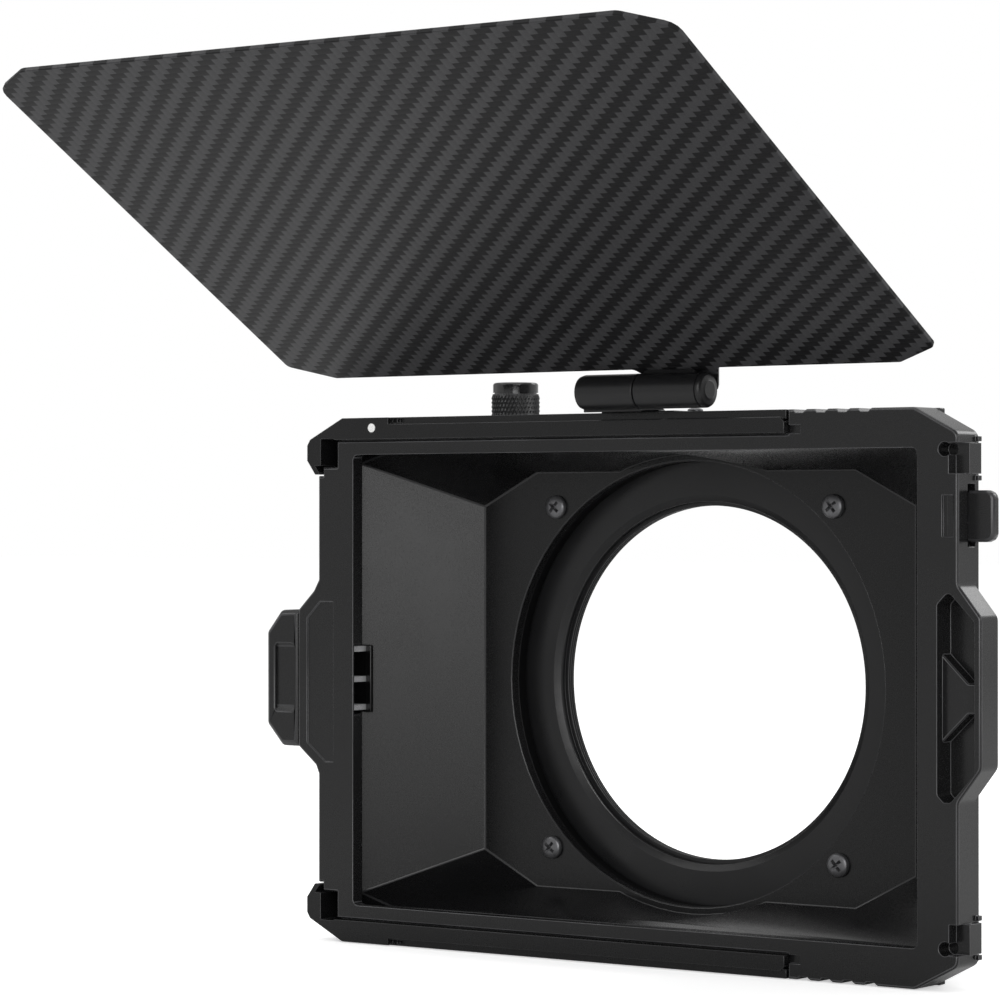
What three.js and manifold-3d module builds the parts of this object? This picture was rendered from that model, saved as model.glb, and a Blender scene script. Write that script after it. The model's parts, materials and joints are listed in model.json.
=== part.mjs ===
// Matte box for 4 x 5.65 inch filters: a tapered hood clamped on a 95 mm lens ring, a filter tray that
// slides out sideways, and a carbon-fibre top flag on a friction hinge.
// Units are millimetres. X runs to the viewer's right, Y runs back along the lens axis and Z runs up.
// Stations are measured back from the tray's front face, heights and widths from the lens axis.

import * as THREE from "three";
import { ConvexGeometry } from "three/addons/geometries/ConvexGeometry.js";
import { mergeVertices } from "three/addons/utils/BufferGeometryUtils.js";
import Module from "manifold-3d";

const wasm = await Module();
wasm.setup();

// Clearances between neighbours, and how far a cut runs past the faces that it opens
const clear = { seat: 0.3, slide: 0.3, ring: 0.15, pin: 0.05, screw: 0.2, shoe: 0.2 };
const overrun = 2;
const mergeWithin = 1e-4;

// How finely round shapes are drawn
const sides = { large: 72, middle: 32, small: 20, corner: 3 };

// Places given as distances beyond an edge, or inside it where they are negative
const beyond = (edge, distances) =>
  Object.fromEntries(Object.entries(distances).map(([name, distance]) => [name, edge + distance]));

// The filter that the tray holds
const filter = { width: 143.5, height: 101.6, thickness: 4, lipX: 1.95, lipZ: 2.3, slack: 0.4, ledge: 1.7 };

// Filter tray
const tray = {
  ...beyond(filter.width / 2, { pocketLeft: 1.95, pocketRight: filter.slack }),
  depth: 8.2, lip: 3, edge: 0.4, seamEdge: 0.3, rimRight: 6.7, rimLeft: 5.8, cheek: 38.85,
  chamferX: 9.65, chamferZ: 5, windowRound: 1.2, cornerRound: 2,
};
tray.right = tray.pocketRight + tray.rimRight;
tray.left = tray.pocketLeft + tray.rimLeft;
tray.openX = filter.width / 2 - filter.lipX;
tray.openZ = filter.height / 2 - filter.lipZ;
tray.pocketZ = filter.height / 2 + filter.slack / 2;

// Rails of the housing that the tray slides in
const rail = {
  ...beyond(filter.height / 2, { legInner: 0.5, lipInner: 0.95, webInner: 3.8, lipOuter: 4.1, outer: 5.6 }),
  ...beyond(-tray.left, { legLeft: 9.5, blockRight: 19.9 }),
  ...beyond(tray.right - tray.cheek, { end: 0, legRight: -2 }),
  proud: 0.8, lipThickness: 1.7, endDrop: 1, legDepth: 2.5,
  pocketWidth: 1.8, pocketRib: 0.2, pocketDepth: 0.9, pocketEdge: 0.35,
};
Object.assign(tray, beyond(rail.outer, { stripTop: -10.5, stripStep: -12.4 }));
tray.stepLeft = tray.left - 1.3;
tray.faceTop = rail.lipInner - clear.slide;
tray.tongueTop = rail.webInner - clear.slide;
tray.tongueFront = rail.lipThickness - rail.proud + clear.slide;
tray.shoulder = rail.end + clear.slide;

// Ears at the rails' left corners, with the accessory slot between ear and tray
const ear = {
  ...beyond(tray.left, {
    outer: 2.4, shoulderX: 1.6, cutX: 0.25, foot: 0.2, toe: -1.1, slotLeft: -1.4, slotRight: -5.3,
    chamferX: -7.3,
  }),
  ...beyond(rail.outer, {
    slotTop: -4.4, shoulderZ: -4.5, sideTop: -5.8, sideBottom: -9.1, cutZ: -10.2, footZ: -12.1, toeZ: -11.9,
  }),
};

// Finger grips, sockets and grooves cut in the tray's edge
const grip = {
  ...beyond(rail.end, { topStart: 3.05, bottomStart: 3.9 }),
  topPitch: 4.97, bottomPitch: 5.1, count: 4, width: 3, floorWidth: 1.8, depth: 0.7,
};
const endPocket = { ...beyond(rail.lipInner, { low: -0.15, high: 1.55 }), width: 3, depth: 1.2 };
const socket = {
  ...beyond(tray.right, { holeX: -2.95, notchLeft: -2.05 }),
  ...beyond(rail.outer, { notchLow: -13, holeZ: -8.25, notchHigh: -7 }),
  notchDepth: 2.9, holeR: 1.4, holeDepth: 4,
};
const strap = { proud: 1, front: 2.2, back: 7.5, nib: 0.7, nibGap: 0.3, nibHigh: 1, nibFront: 6.8 };

// Spring-steel catch that the release button bends, and its rivet
const hook = {
  ...beyond(tray.right, {
    leafLeft: -3.85, left: -3.65, right: -2.05, leafRight: -1.85, wingRight: -0.85, bayRight: -0.65,
  }),
  ...beyond(rail.outer, { leafLow: -33.8, rivetZ: -31.4, low: -22.6, high: -20.2 }),
  back: 10.1, wingFront: 4.1, wingBack: 6.2, leafThick: 0.5, leafFloor: 4.4, bayFront: 1.6,
  rivetR: 0.7, rivetHead: 1.35, rivetHeadHigh: 0.8, rivetDeep: 1.6,
};

// Release button in the tray's right side
const button = {
  ...beyond(tray.right, { cavityLeft: -5.65, bodyFrom: -0.45, wedgeX: -0.05, outer: 5.45 }),
  ...beyond(rail.outer, { cavityLow: -27.1, low: -26.2, prongLow: -24.6, high: -16.2, cavityHigh: -14.9 }),
  cavityFront: 3.9, cavityBack: 6.9, front: 4.2, back: 6.7, prongBite: 1.25, prongThick: 1.8, round: 1.7,
};
button.prongReach = hook.wingRight - button.prongBite;
const faceGroove = {
  ...beyond(tray.right, { left: -3.5, deepRight: -2.55, right: -1.05 }),
  ...beyond(rail.outer, { low: -25.2, high: -17.1 }),
  depth: 0.35, deepBy: 0.25,
};

// Carrying handle on the tray's right, with a finger recess and a web
const handle = {
  ...beyond(tray.right, {
    recessLeft: -4.65, topRight: -1.75, webKnee: 1.05, recessRight: 3.55, outer: 5.05,
  }),
  ...beyond(hook.leafLow, { topRoot: -0.7, recessTop: -2.4, topLeft: -4.4, top: -6.9, slopeTop: -7.7 }),
  ...beyond(-hook.leafLow, {
    recessBottom: 2.6, bottomRoot: 2.7, bottomLeft: 4, slopeBottom: 8.2, bottom: 9.2,
  }),
  depth: 6.7, recessDepth: 5.3, recessRound: 1, webFront: 2.1, webHigh: 8.5, webLow: 3, webEdge: 0.3,
};

// Tab on the tray's left that the latch slides in
const tab = {
  ...beyond(tray.left, {
    panelRight: -4.2, panelLowX: -2, shoulderLowX: 0.8, shoulderX: 1.4, panelLeft: 3.1, outer: 5.6,
  }),
  top: 15, shoulderTop: 19.1, rootTop: 21.5, bottom: -14.8, shoulderBottom: -18.7, rootBottom: -20.6,
  panelTop: 16.8, panelSlope: 3.6, panelBottom: -17.9, panelLow: -13.8, panelDepth: 0.4,
};

// Latch that holds the filter, pulled outwards against two springs
const latch = {
  ...beyond(tray.left, { bayLeft: -3.5, coverRight: 0.7, screwX: 2.9 }),
  ...beyond(filter.width / 2, { barRight: 0.45, tipLeft: 0.15, tipRight: -1.25 }),
  cavityFront: 3.2, cavityHalf: 10.5, wall: 1.6, bayHalf: 7.6, bayFront: 0.5,
  neckHalf: 6, neckFront: 3.5, neckBack: 6.6, headHalf: 10.2, headThick: 1.5, headBack: 7.8,
  barFront: 6.6, barBack: 7.6, barZ: [6.5, -0.05, -6.15], barHigh: 1.2, barWide: 1.2,
  tipHalf: 7.3, tipBack: 8.1,
  springZ: 8.3, springR: 1.4, springBore: 0.7, coverFront: 6.9, coverHalf: 13,
  screwZ: 11.8, screwR: 0.7, screwHead: 1.2, screwHeadHigh: 0.7, screwLong: 3.4,
};
latch.noseFront = tray.lip + filter.thickness + clear.pin * 2;
latch.limbFront = latch.bayFront + clear.seat;

// Thumb piece at the outer end of the latch
const thumb = {
  ...beyond(tab.outer, { recessRight: 1.6, bottomX: 5.5, topX: 5.8, recessLeft: 7.1, outer: 9.8 }),
  front: 0.6, back: 7.6, top: 14.8, sideTop: 10, sideBottom: -10.2, bottom: -14.9, edge: 1, round: 1.5,
  recessTop: 7.5, recessBottom: -7.3, recessDepth: 2.2, recessRound: 0.8,
};

// Lens ring, whose outside is the lens size that it fits
const ring = {
  outer: 47.5, thick: 8, faceInner: 39.8, chamfer: 0.8, mouth: 38.4, mouthEnd: 2.3, bore: 37.5, boreEnd: 4.5,
  counterbore: 42.3, spigot: 44.5, spigotLong: 3, faceGap: 0.3, rest: 0.6,
};

// Hood: flange behind the tray, sloped walls, floor and the boss that backs the scallops
const hood = {
  ...beyond(rail.outer, { flangeZ: -2.1 }),
  ...beyond(tray.right, { cheekRight: -8.9, flangeRight: -2.35, lugRight: -0.25 }),
  ...beyond(filter.width / 2, { frontCutX: -5.85, frontX: 2.55 }),
  ...beyond(filter.height / 2, { frontLowZ: -4.1, frontZ: -1.6 }),
  ...beyond(ring.outer, {
    floorLowZ: -10.1, floorCutX: -7.6, floorZ: -2.7, floorBore: -0.6, scallop: 1, boss: 3.4, floorX: 6.6,
  }),
  flangeThick: 2.3, flangeCutX: 7.9, flangeCutZ: 4.1, floorFront: 26.7, floorThick: 2.5, wall: 2.2,
  backTaper: 1.5, lugHalf: 4,
};
hood.flangeLeft = clear.seat - tray.left;
hood.flangeFront = tray.depth + clear.seat;
hood.flangeBack = hood.flangeFront + hood.flangeThick;
hood.floorBack = hood.floorFront + hood.floorThick;

// Screws that hold the collar to the hood floor, on one circle, and the screws that hold the rails
const collarScrew = {
  circle: ring.outer + 3.5, upperDegrees: 46.9, lowerDegrees: 45.1, headR: 2.5, headHigh: 1.4, shankR: 1.5,
  length: 10, crossWide: 0.7, crossLong: 2.9, crossDeep: 0.8,
};
collarScrew.places = [
  180 - collarScrew.upperDegrees, collarScrew.upperDegrees, 180 + collarScrew.lowerDegrees,
  -collarScrew.lowerDegrees,
].map(THREE.MathUtils.degToRad).map((turn) => [
  collarScrew.circle * Math.cos(turn), collarScrew.circle * Math.sin(turn),
]);
const railScrew = {
  placeShares: [0.09, 0.48, 0.93], z: rail.legInner + 1.3, headR: 1.7, headHigh: 1.2, shankR: 0.9, bite: 1.9,
};
railScrew.x = railScrew.placeShares.map((share) => rail.legLeft + share * (rail.legRight - rail.legLeft));

// Collar that the lens ring turns in, and the snap ring that keeps it there
const collar = {
  ...beyond(ring.outer, {
    shoulderR: -ring.rest, bore: clear.ring, grooveR: 1.7, flangeHalfZ: 2.5, outer: 6,
  }),
  shoulderThick: 2.9, flangeR: collarScrew.circle + 3.4, flangeThick: 2.5, depth: 13.8, grooveWide: 1,
};
collar.front = hood.floorBack;
collar.back = collar.front + collar.depth;
ring.front = collar.front + collar.shoulderThick + ring.faceGap;
ring.back = ring.front + ring.thick;
ring.seat = ring.back + ring.spigotLong;
const snapRing = { inner: ring.outer - 1.1, thick: 0.8, openShare: 0.06 };
collar.grooveFront = ring.back + clear.seat;
snapRing.front = collar.grooveFront + (collar.grooveWide - snapRing.thick) / 2;
snapRing.outer = collar.grooveR - clear.screw;

// Knob, stud and shoe that lock the lens ring
const lock = {
  x: -ring.outer - 5.45, towerTop: ring.outer + 1.5, towerFront: 31, towerDeep: 10.8, towerBottom: -22,
  studR: 2, studBottom: -19, shoeTop: -6, shoeBottom: -20, shoeHalf: 4, shoeTravel: 0.6,
  clipR: 3.2, clipThick: 0.8, clipBayHalf: 4, clipBayHigh: 2.4,
  neckR: 3.6, knurlR: 5.2, capR: 4.7, capEdge: 0.6, teeth: 30, toothDeep: 0.35,
};
Object.assign(lock, beyond(lock.x, { towerLeft: -7.05, shoeLeft: -4.55, towerRight: 6.95 }));
Object.assign(lock, beyond(lock.towerTop, { clipZ: -5, knurlFrom: 2, knurlTo: 13.2, capTop: 15.7 }));
lock.y = lock.towerFront + lock.towerDeep / 2;

// Hinge of the flag
const hinge = {
  y: -5.2, z: rail.outer + 4.05, radius: 3.4, left: -5.4, seam: 8.7, seamGap: 0.3, right: 24.7,
  endLong: 1.4, endDrop: 0.9, pinR: 1.5, pinInset: 0.4,
  stemBack: 4, footFront: 1.2, footRight: 12.5, footThick: 1.3, footSink: 1, footBack: 15,
  bossSide: 1.5, bossBack: 15.6, screwInset: 6, screwApart: 9.4, screwY: 12.9, screwR: 0.9, screwHead: 1.6,
  screwHeadHigh: 0.8, screwLong: 4.6, washerR: 2.6, washerThick: 0.5,
};
hinge.screwX = [hinge.left + hinge.screwInset, hinge.left + hinge.screwInset + hinge.screwApart];

// Flag, in its own frame: X along the hinge, Y back along the panel, Z off its upper face
const flag = {
  tilt: 30.18, halfWidth: 79.6, offset: -0.31, length: 112.45, thickness: 1, lift: 3.66, setAhead: 2.34,
  frontCutX: 9.56, frontCutY: 4.91, backCutX: 9.93, backCutY: 5.05, frontRound: 3.7, backRound: 1.5,
  tongueLeft: 7.2, tongueRight: 27.5, tongueTipLeft: 11.7, tongueTipRight: 22.8, tongueLong: 8.3,
  tongueRound: 1,
  leafLeft: 9.3, leafRight: 22, leafThick: 1.9, leafFront: 2.4, leafBack: 5.3, leafRound: 0.8,
  plateLeft: 10.6, plateRight: 20.6, plateThick: 1.4, plateGap: 0.1, plateInset: 0.5, plateFront: 9,
  plateRound: 1.2,
  screwX: [13, 18.6], screwY: 3.9, screwR: 0.7, screwHead: 1.3, screwHeadHigh: 0.8,
};
const dot = { x: 15.4 - tray.left, z: rail.outer - 2.2, radius: 0.95, deep: 0.5 };

// Finishes
const finishes = {
  moulded: new THREE.MeshStandardMaterial({ color: 0x141516, roughness: 0.5, metalness: 0 }),
  anodised: new THREE.MeshStandardMaterial({ color: 0x0e0e0f, roughness: 0.35, metalness: 0.4 }),
  blackSteel: new THREE.MeshStandardMaterial({ color: 0x222326, roughness: 0.4, metalness: 0.8 }),
  springSteel: new THREE.MeshStandardMaterial({ color: 0x9a9c9e, roughness: 0.3, metalness: 1 }),
  carbon: new THREE.MeshStandardMaterial({ color: 0x26282a, roughness: 0.35, metalness: 0.1 }),
  marking: new THREE.MeshStandardMaterial({ color: 0xf2f2f0, roughness: 0.6, metalness: 0 }),
};

// A closed solid from any geometry, with its faces turned outwards
function solidOf(geometry) {
  const bare = geometry.index ? geometry.toNonIndexed() : geometry.clone();
  bare.deleteAttribute("normal");
  bare.deleteAttribute("uv");
  const merged = mergeVertices(bare, mergeWithin);
  const all = merged.index.array;
  const kept = [];
  for (let i = 0; i < all.length; i += 3) {
    const [a, b, c] = all.slice(i, i + 3);
    if (a !== b && b !== c && c !== a) kept.push([a, b, c]);
  }
  const vertProperties = merged.attributes.position.array;
  const build = (faces) =>
    new wasm.Manifold(
      new wasm.Mesh({ numProp: 3, vertProperties, triVerts: new Uint32Array(faces.flat()) }),
    );
  const solid = build(kept);
  return solid.volume() > 0 ? solid : build(kept.map(([a, b, c]) => [a, c, b]));
}

// Frames that lay an outline (u, v) in a plane and its depth along the named axis
const lay = {
  x: [[0, 1, 0], [0, 0, 1], [1, 0, 0]],
  y: [[1, 0, 0], [0, 0, 1], [0, 1, 0]],
  z: [[1, 0, 0], [0, 1, 0], [0, 0, 1]],
};
const frameOf = (axis) =>
  new THREE.Matrix4().makeBasis(...lay[axis].map((column) => new THREE.Vector3(...column)));

// A block between two stations on each axis
function block([x0, x1], [y0, y1], [z0, z1]) {
  const box = new THREE.BoxGeometry(x1 - x0, y1 - y0, z1 - z0);
  return solidOf(box.translate((x0 + x1) / 2, (y0 + y1) / 2, (z0 + z1) / 2));
}

// An outline extruded along an axis, with an optional chamfer round its first face
function plate(outline, axis, from, to, edge = 0) {
  const shape = new THREE.Shape(outline.map(([u, v]) => new THREE.Vector2(u, v)));
  const bevel = {
    bevelEnabled: true, bevelThickness: edge, bevelSize: edge, bevelOffset: -edge, bevelSegments: 1,
  };
  const depth = to - from;
  const options = edge ? { depth: depth - edge, ...bevel } : { depth, bevelEnabled: false };
  const raw = new THREE.ExtrudeGeometry(shape, options);
  raw.translate(0, 0, from + edge).applyMatrix4(frameOf(axis));
  const solid = solidOf(raw);
  if (!edge) return solid;
  raw.computeBoundingBox();
  const { min, max } = raw.boundingBox;
  const spans = { x: [min.x, max.x], y: [min.y, max.y], z: [min.z, max.z] };
  for (const name of ["x", "y", "z"]) spans[name] = [spans[name][0] - overrun, spans[name][1] + overrun];
  spans[axis] = [to, to + edge + overrun];
  return solid.subtract(block(spans.x, spans.y, spans.z));
}

// A profile of (radius, station) points turned about an axis through (u, v)
function turned(profile, axis, [u, v] = [0, 0], count = sides.middle) {
  const onAxis = profile[0][0] === 0;
  const points = (onAxis ? profile : [...profile, profile[0]]).map(([r, w]) => new THREE.Vector2(r, w));
  const lathe = new THREE.LatheGeometry(points, count);
  lathe.rotateX(Math.PI / 2).translate(u, v, 0);
  return solidOf(lathe.applyMatrix4(frameOf(axis)));
}

// A plain round bar between two stations, and a round bar with a hole through it
const rod = (radius, axis, from, to, centre, count = sides.small) =>
  turned([[0, from], [radius, from], [radius, to], [0, to]], axis, centre, count);
const tube = (inner, outer, axis, from, to, centre, count = sides.small) =>
  turned([[inner, from], [outer, from], [outer, to], [inner, to]], axis, centre, count);

// Convex solid round a list of points
const hull = (points) => solidOf(new ConvexGeometry(points.map((p) => new THREE.Vector3(...p))));

// Outline whose corners are rounded where a point has a third number, its radius
function softened(points, steps = sides.corner) {
  return points.flatMap(([u, v, radius = 0], i) => {
    if (!radius) return [[u, v]];
    const corner = new THREE.Vector2(u, v);
    const before = new THREE.Vector2(...points.at(i - 1).slice(0, 2)).sub(corner).normalize();
    const after = new THREE.Vector2(...points[(i + 1) % points.length].slice(0, 2)).sub(corner).normalize();
    const half = Math.acos(before.dot(after)) / 2;
    const centre = before.clone().add(after).normalize().multiplyScalar(
      radius / Math.sin(half),
    ).add(corner);
    const start = before.multiplyScalar(radius / Math.tan(half)).add(corner).sub(centre);
    const end = after.multiplyScalar(radius / Math.tan(half)).add(corner).sub(centre);
    const sweep = Math.atan2(start.cross(end), start.dot(end));
    return Array.from({ length: steps + 1 }, (_, k) => {
      const turn = start.clone().rotateAround(new THREE.Vector2(), (sweep * k) / steps);
      return [centre.x + turn.x, centre.y + turn.y];
    });
  });
}

// Small helpers for mirrored outlines and joined lists
const flipZ = (points) => points.map(([x, z, ...rest]) => [x, -z, ...rest]).reverse();
const join = (solids) => solids.reduce((sum, next) => sum.add(next));
const without = (solid, cuts) => cuts.reduce((rest, cut) => rest.subtract(cut), solid);
const octagon = (x, lowZ, cutX, z) => [
  [-x, -lowZ], [-cutX, -z], [cutX, -z], [x, -lowZ], [x, lowZ], [cutX, z], [-cutX, z], [-x, lowZ],
];
const at = (outline, station) => outline.map(([x, z]) => [x, station, z]);

// A solid as a named mesh
function piece(name, solid, finish) {
  const { numProp, vertProperties, triVerts } = solid.getMesh();
  const count = vertProperties.length / numProp;
  const position = new Float32Array(count * 3);
  for (let i = 0; i < count; i++) position.set(
    vertProperties.subarray(i * numProp, i * numProp + 3),
    i * 3,
  );
  const geometry = new THREE.BufferGeometry();
  geometry.setAttribute("position", new THREE.BufferAttribute(position, 3));
  geometry.setIndex(new THREE.BufferAttribute(triVerts, 1));
  geometry.computeVertexNormals();
  const mesh = new THREE.Mesh(geometry, finish);
  mesh.name = name;
  return mesh;
}
const group = (...children) => new THREE.Group().add(...children);

// Screw along Y: a round head in front of or behind its seat, and a shank
function screwAlongY([x, z], seat, into, { headR, headHigh, shankR }, length) {
  const head = rod(
    headR,
    "y",
    Math.min(seat, seat - into * headHigh),
    Math.max(seat, seat - into * headHigh),
    [x, z],
  );
  const reach = seat + into * length;
  return head.add(rod(shankR, "y", Math.min(seat, reach), Math.max(seat, reach), [x, z]));
}

// Tray frame
function trayOutline() {
  const { right, left, chamferX, chamferZ, stripTop, stripStep, stepLeft, faceTop, shoulder } = tray;
  const round = tray.cornerRound;
  const corner = [
    [shoulder, faceTop], [shoulder, rail.outer], [right - chamferX, rail.outer, round],
    [right, rail.outer - chamferZ, round],
  ];
  const strip = [
    [-left, stripStep], [-stepLeft, stripStep], [-stepLeft, stripTop], [-ear.slotRight, stripTop],
    [-ear.slotRight, faceTop],
  ];
  return softened([
    ...corner,
    [right, handle.topRoot, round], [handle.outer, handle.top, round], [handle.outer, handle.bottom, round],
    [right, handle.bottomRoot, round],
    ...flipZ(corner),
    ...flipZ(strip),
    [-left, tab.rootBottom], [-tab.shoulderLowX, tab.shoulderBottom], [-tab.outer, tab.bottom],
    [-tab.outer, tab.top], [-tab.shoulderX, tab.shoulderTop], [-left, tab.rootTop],
    ...strip,
  ]);
}

function gripCuts() {
  const trapezoid = (x, edge, into) => [
    [x - grip.width / 2, edge], [x - grip.floorWidth / 2, edge - into * grip.depth],
    [x + grip.floorWidth / 2, edge - into * grip.depth], [x + grip.width / 2, edge],
    [x + grip.width / 2, edge + into * overrun], [x - grip.width / 2, edge + into * overrun],
  ];
  return Array.from({ length: grip.count }, (_, i) => [
    plate(trapezoid(grip.topStart + i * grip.topPitch, rail.outer, 1), "y", -overrun, tray.depth + overrun),
    plate(
      trapezoid(grip.bottomStart + i * grip.bottomPitch, -rail.outer, -1),
      "y",
      -overrun,
      tray.depth + overrun,
    ),
  ]).flat();
}

function handleRecess() {
  const h = handle;
  const outline = softened([
    [h.recessLeft, h.topLeft, h.recessRound],
    [h.recessLeft + (h.recessTop - h.topLeft), h.recessTop, h.recessRound],
    [h.topRight, h.recessTop, h.recessRound], [h.recessRight, h.slopeTop, h.recessRound],
    [h.recessRight, h.slopeBottom, h.recessRound], [h.topRight, h.recessBottom, h.recessRound],
    [h.recessLeft + (h.bottomLeft - h.recessBottom), h.recessBottom, h.recessRound],
    [h.recessLeft, h.bottomLeft, h.recessRound],
  ]);
  const web = plate([
    [h.recessLeft - overrun, h.webHigh], [h.recessLeft, h.webHigh], [h.webKnee, h.webLow],
    [h.recessRight + overrun, h.webLow],
    [h.recessRight + overrun, -h.webLow], [h.webKnee, -h.webLow], [h.recessLeft, -h.webHigh],
    [h.recessLeft - overrun, -h.webHigh],
  ], "y", h.webFront, h.recessDepth + h.webEdge, h.webEdge);
  return plate(outline, "y", -overrun, h.recessDepth).subtract(web);
}

function socketCuts(up) {
  const reach = (low, high) => [Math.min(up * low, up * high), Math.max(up * low, up * high)];
  const { notchLeft, notchLow, notchHigh, notchDepth, holeX, holeZ, holeR, holeDepth } = socket;
  return [
    block(
      [notchLeft, tray.right + overrun],
      [-overrun, notchDepth],
      reach(notchLow, notchHigh),
    ),
    rod(holeR, "y", -overrun, holeDepth, [holeX, up * holeZ]),
    block(
      [tray.shoulder - overrun, tray.shoulder + endPocket.width],
      [-overrun, endPocket.depth],
      reach(endPocket.low, endPocket.high),
    ),
  ];
}

function latchCuts() {
  const half = (value) => [-value, value];
  const { cavityHalf, cavityFront, wall, bayHalf, bayLeft, bayFront, neckHalf } = latch;
  const back = tray.depth + overrun;
  return [
    block([-tab.outer + wall, -bayLeft], [cavityFront, back], half(cavityHalf)),
    block([-bayLeft - overrun, -tray.pocketLeft + overrun], [cavityFront, back], half(bayHalf)),
    block([-bayLeft, -tray.openX + overrun], [bayFront, back], half(bayHalf)),
    block(
      [-tab.outer - overrun, -tab.outer + wall + overrun],
      [cavityFront, latch.coverFront],
      half(neckHalf + clear.slide),
    ),
    block([-tab.outer - overrun, -latch.coverRight], [latch.coverFront, back], half(latch.coverHalf)),
    ...[-1, 1].map((up) =>
      rod(
        latch.screwR + clear.screw,
        "y",
        latch.coverFront - latch.screwLong + clear.seat,
        back,
        [-latch.screwX, up * latch.screwZ],
      ),
    ),
  ];
}

function buttonCuts() {
  const b = button;
  const back = tray.depth + overrun;
  const wide = clear.seat + clear.pin;
  return [
    block([b.cavityLeft, tray.right + overrun], [b.cavityFront, b.cavityBack], [b.cavityLow, b.cavityHigh]),
    block(
      [hook.leafLeft - wide, hook.leafRight + wide],
      [hook.leafFloor, back],
      [hook.leafLow - clear.seat, hook.low],
    ),
    block(
      [hook.leafLeft - wide, hook.bayRight],
      [hook.bayFront, back],
      [b.prongLow - clear.seat, b.low + b.high - b.prongLow + clear.seat],
    ),
    rod(
      hook.rivetR + clear.pin * 2,
      "y",
      hook.leafFloor - hook.rivetDeep - clear.seat,
      back,
      [(hook.leafLeft + hook.leafRight) / 2, hook.rivetZ],
    ),
  ];
}

function trayFrame() {
  const t = tray;
  const outline = trayOutline();
  const seam = [[-ear.slotRight, t.faceTop], [t.shoulder + overrun, t.faceTop]];
  const face = plate([...seam, ...flipZ(seam)], "y", 0, t.depth, t.seamEdge);
  const tongue = (up) =>
    block(
      [-ear.slotRight + clear.slide, t.shoulder + overrun],
      [t.tongueFront, t.depth],
      up > 0 ? [t.faceTop - overrun, t.tongueTop] : [-t.tongueTop, -t.faceTop + overrun],
    );
  const { notchLow, notchHigh } = socket;
  const { nibGap, nibHigh } = strap;
  const onSide = (proud, front, back, low, high) => [
    block([t.right - overrun, t.right + proud], [front, back], [low, high]),
    block([t.right - overrun, t.right + proud], [front, back], [-high, -low]),
  ];
  const straps = [
    ...onSide(strap.proud, strap.front, strap.back, notchLow, notchHigh),
    ...onSide(strap.nib, strap.nibFront, t.depth, notchHigh + nibGap, notchHigh + nibGap + nibHigh),
    ...onSide(strap.nib, strap.nibFront, t.depth, notchLow - nibGap - nibHigh, notchLow - nibGap),
  ];
  const ledge = block(
    [t.pocketRight - filter.ledge, t.pocketRight + overrun],
    [latch.noseFront, t.depth],
    [-latch.tipHalf, latch.tipHalf],
  );
  const corner = t.windowRound;
  const window = softened(
    [
      [-t.openX, -t.openZ, corner], [t.openX, -t.openZ, corner], [t.openX, t.openZ, corner],
      [-t.openX, t.openZ, corner],
    ],
  );
  const panel = [
    [-tab.panelLeft, tab.panelTop - tab.panelSlope], [-tab.panelLeft + tab.panelSlope, tab.panelTop],
    [-tab.panelRight, tab.panelTop],
    [-tab.panelRight, tab.panelBottom], [-tab.panelLowX, tab.panelBottom], [-tab.panelLeft, tab.panelLow],
  ];
  const groove = faceGroove;
  const body = join([plate(outline, "y", 0, t.depth, t.edge), face, tongue(1), tongue(-1), ...straps]);
  const hollowed = without(body, [
    plate(window, "y", -overrun, t.depth + overrun),
    block([-t.pocketLeft, t.pocketRight], [t.lip, t.depth + overrun], [-t.pocketZ, t.pocketZ]),
    block(
      [t.right, handle.outer + overrun],
      [handle.depth, t.depth + overrun],
      [handle.bottomRoot - overrun, handle.topRoot + overrun],
    ),
    handleRecess(),
    plate(panel, "y", -overrun, tab.panelDepth),
    block([groove.left, groove.right], [-overrun, groove.depth], [groove.low, groove.high]),
    block(
      [groove.left, groove.deepRight],
      [-overrun, groove.depth + groove.deepBy],
      [groove.low, groove.high],
    ),
    ...gripCuts(), ...socketCuts(1), ...socketCuts(-1), ...latchCuts(), ...buttonCuts(),
  ]);
  return hollowed.add(ledge);
}

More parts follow.
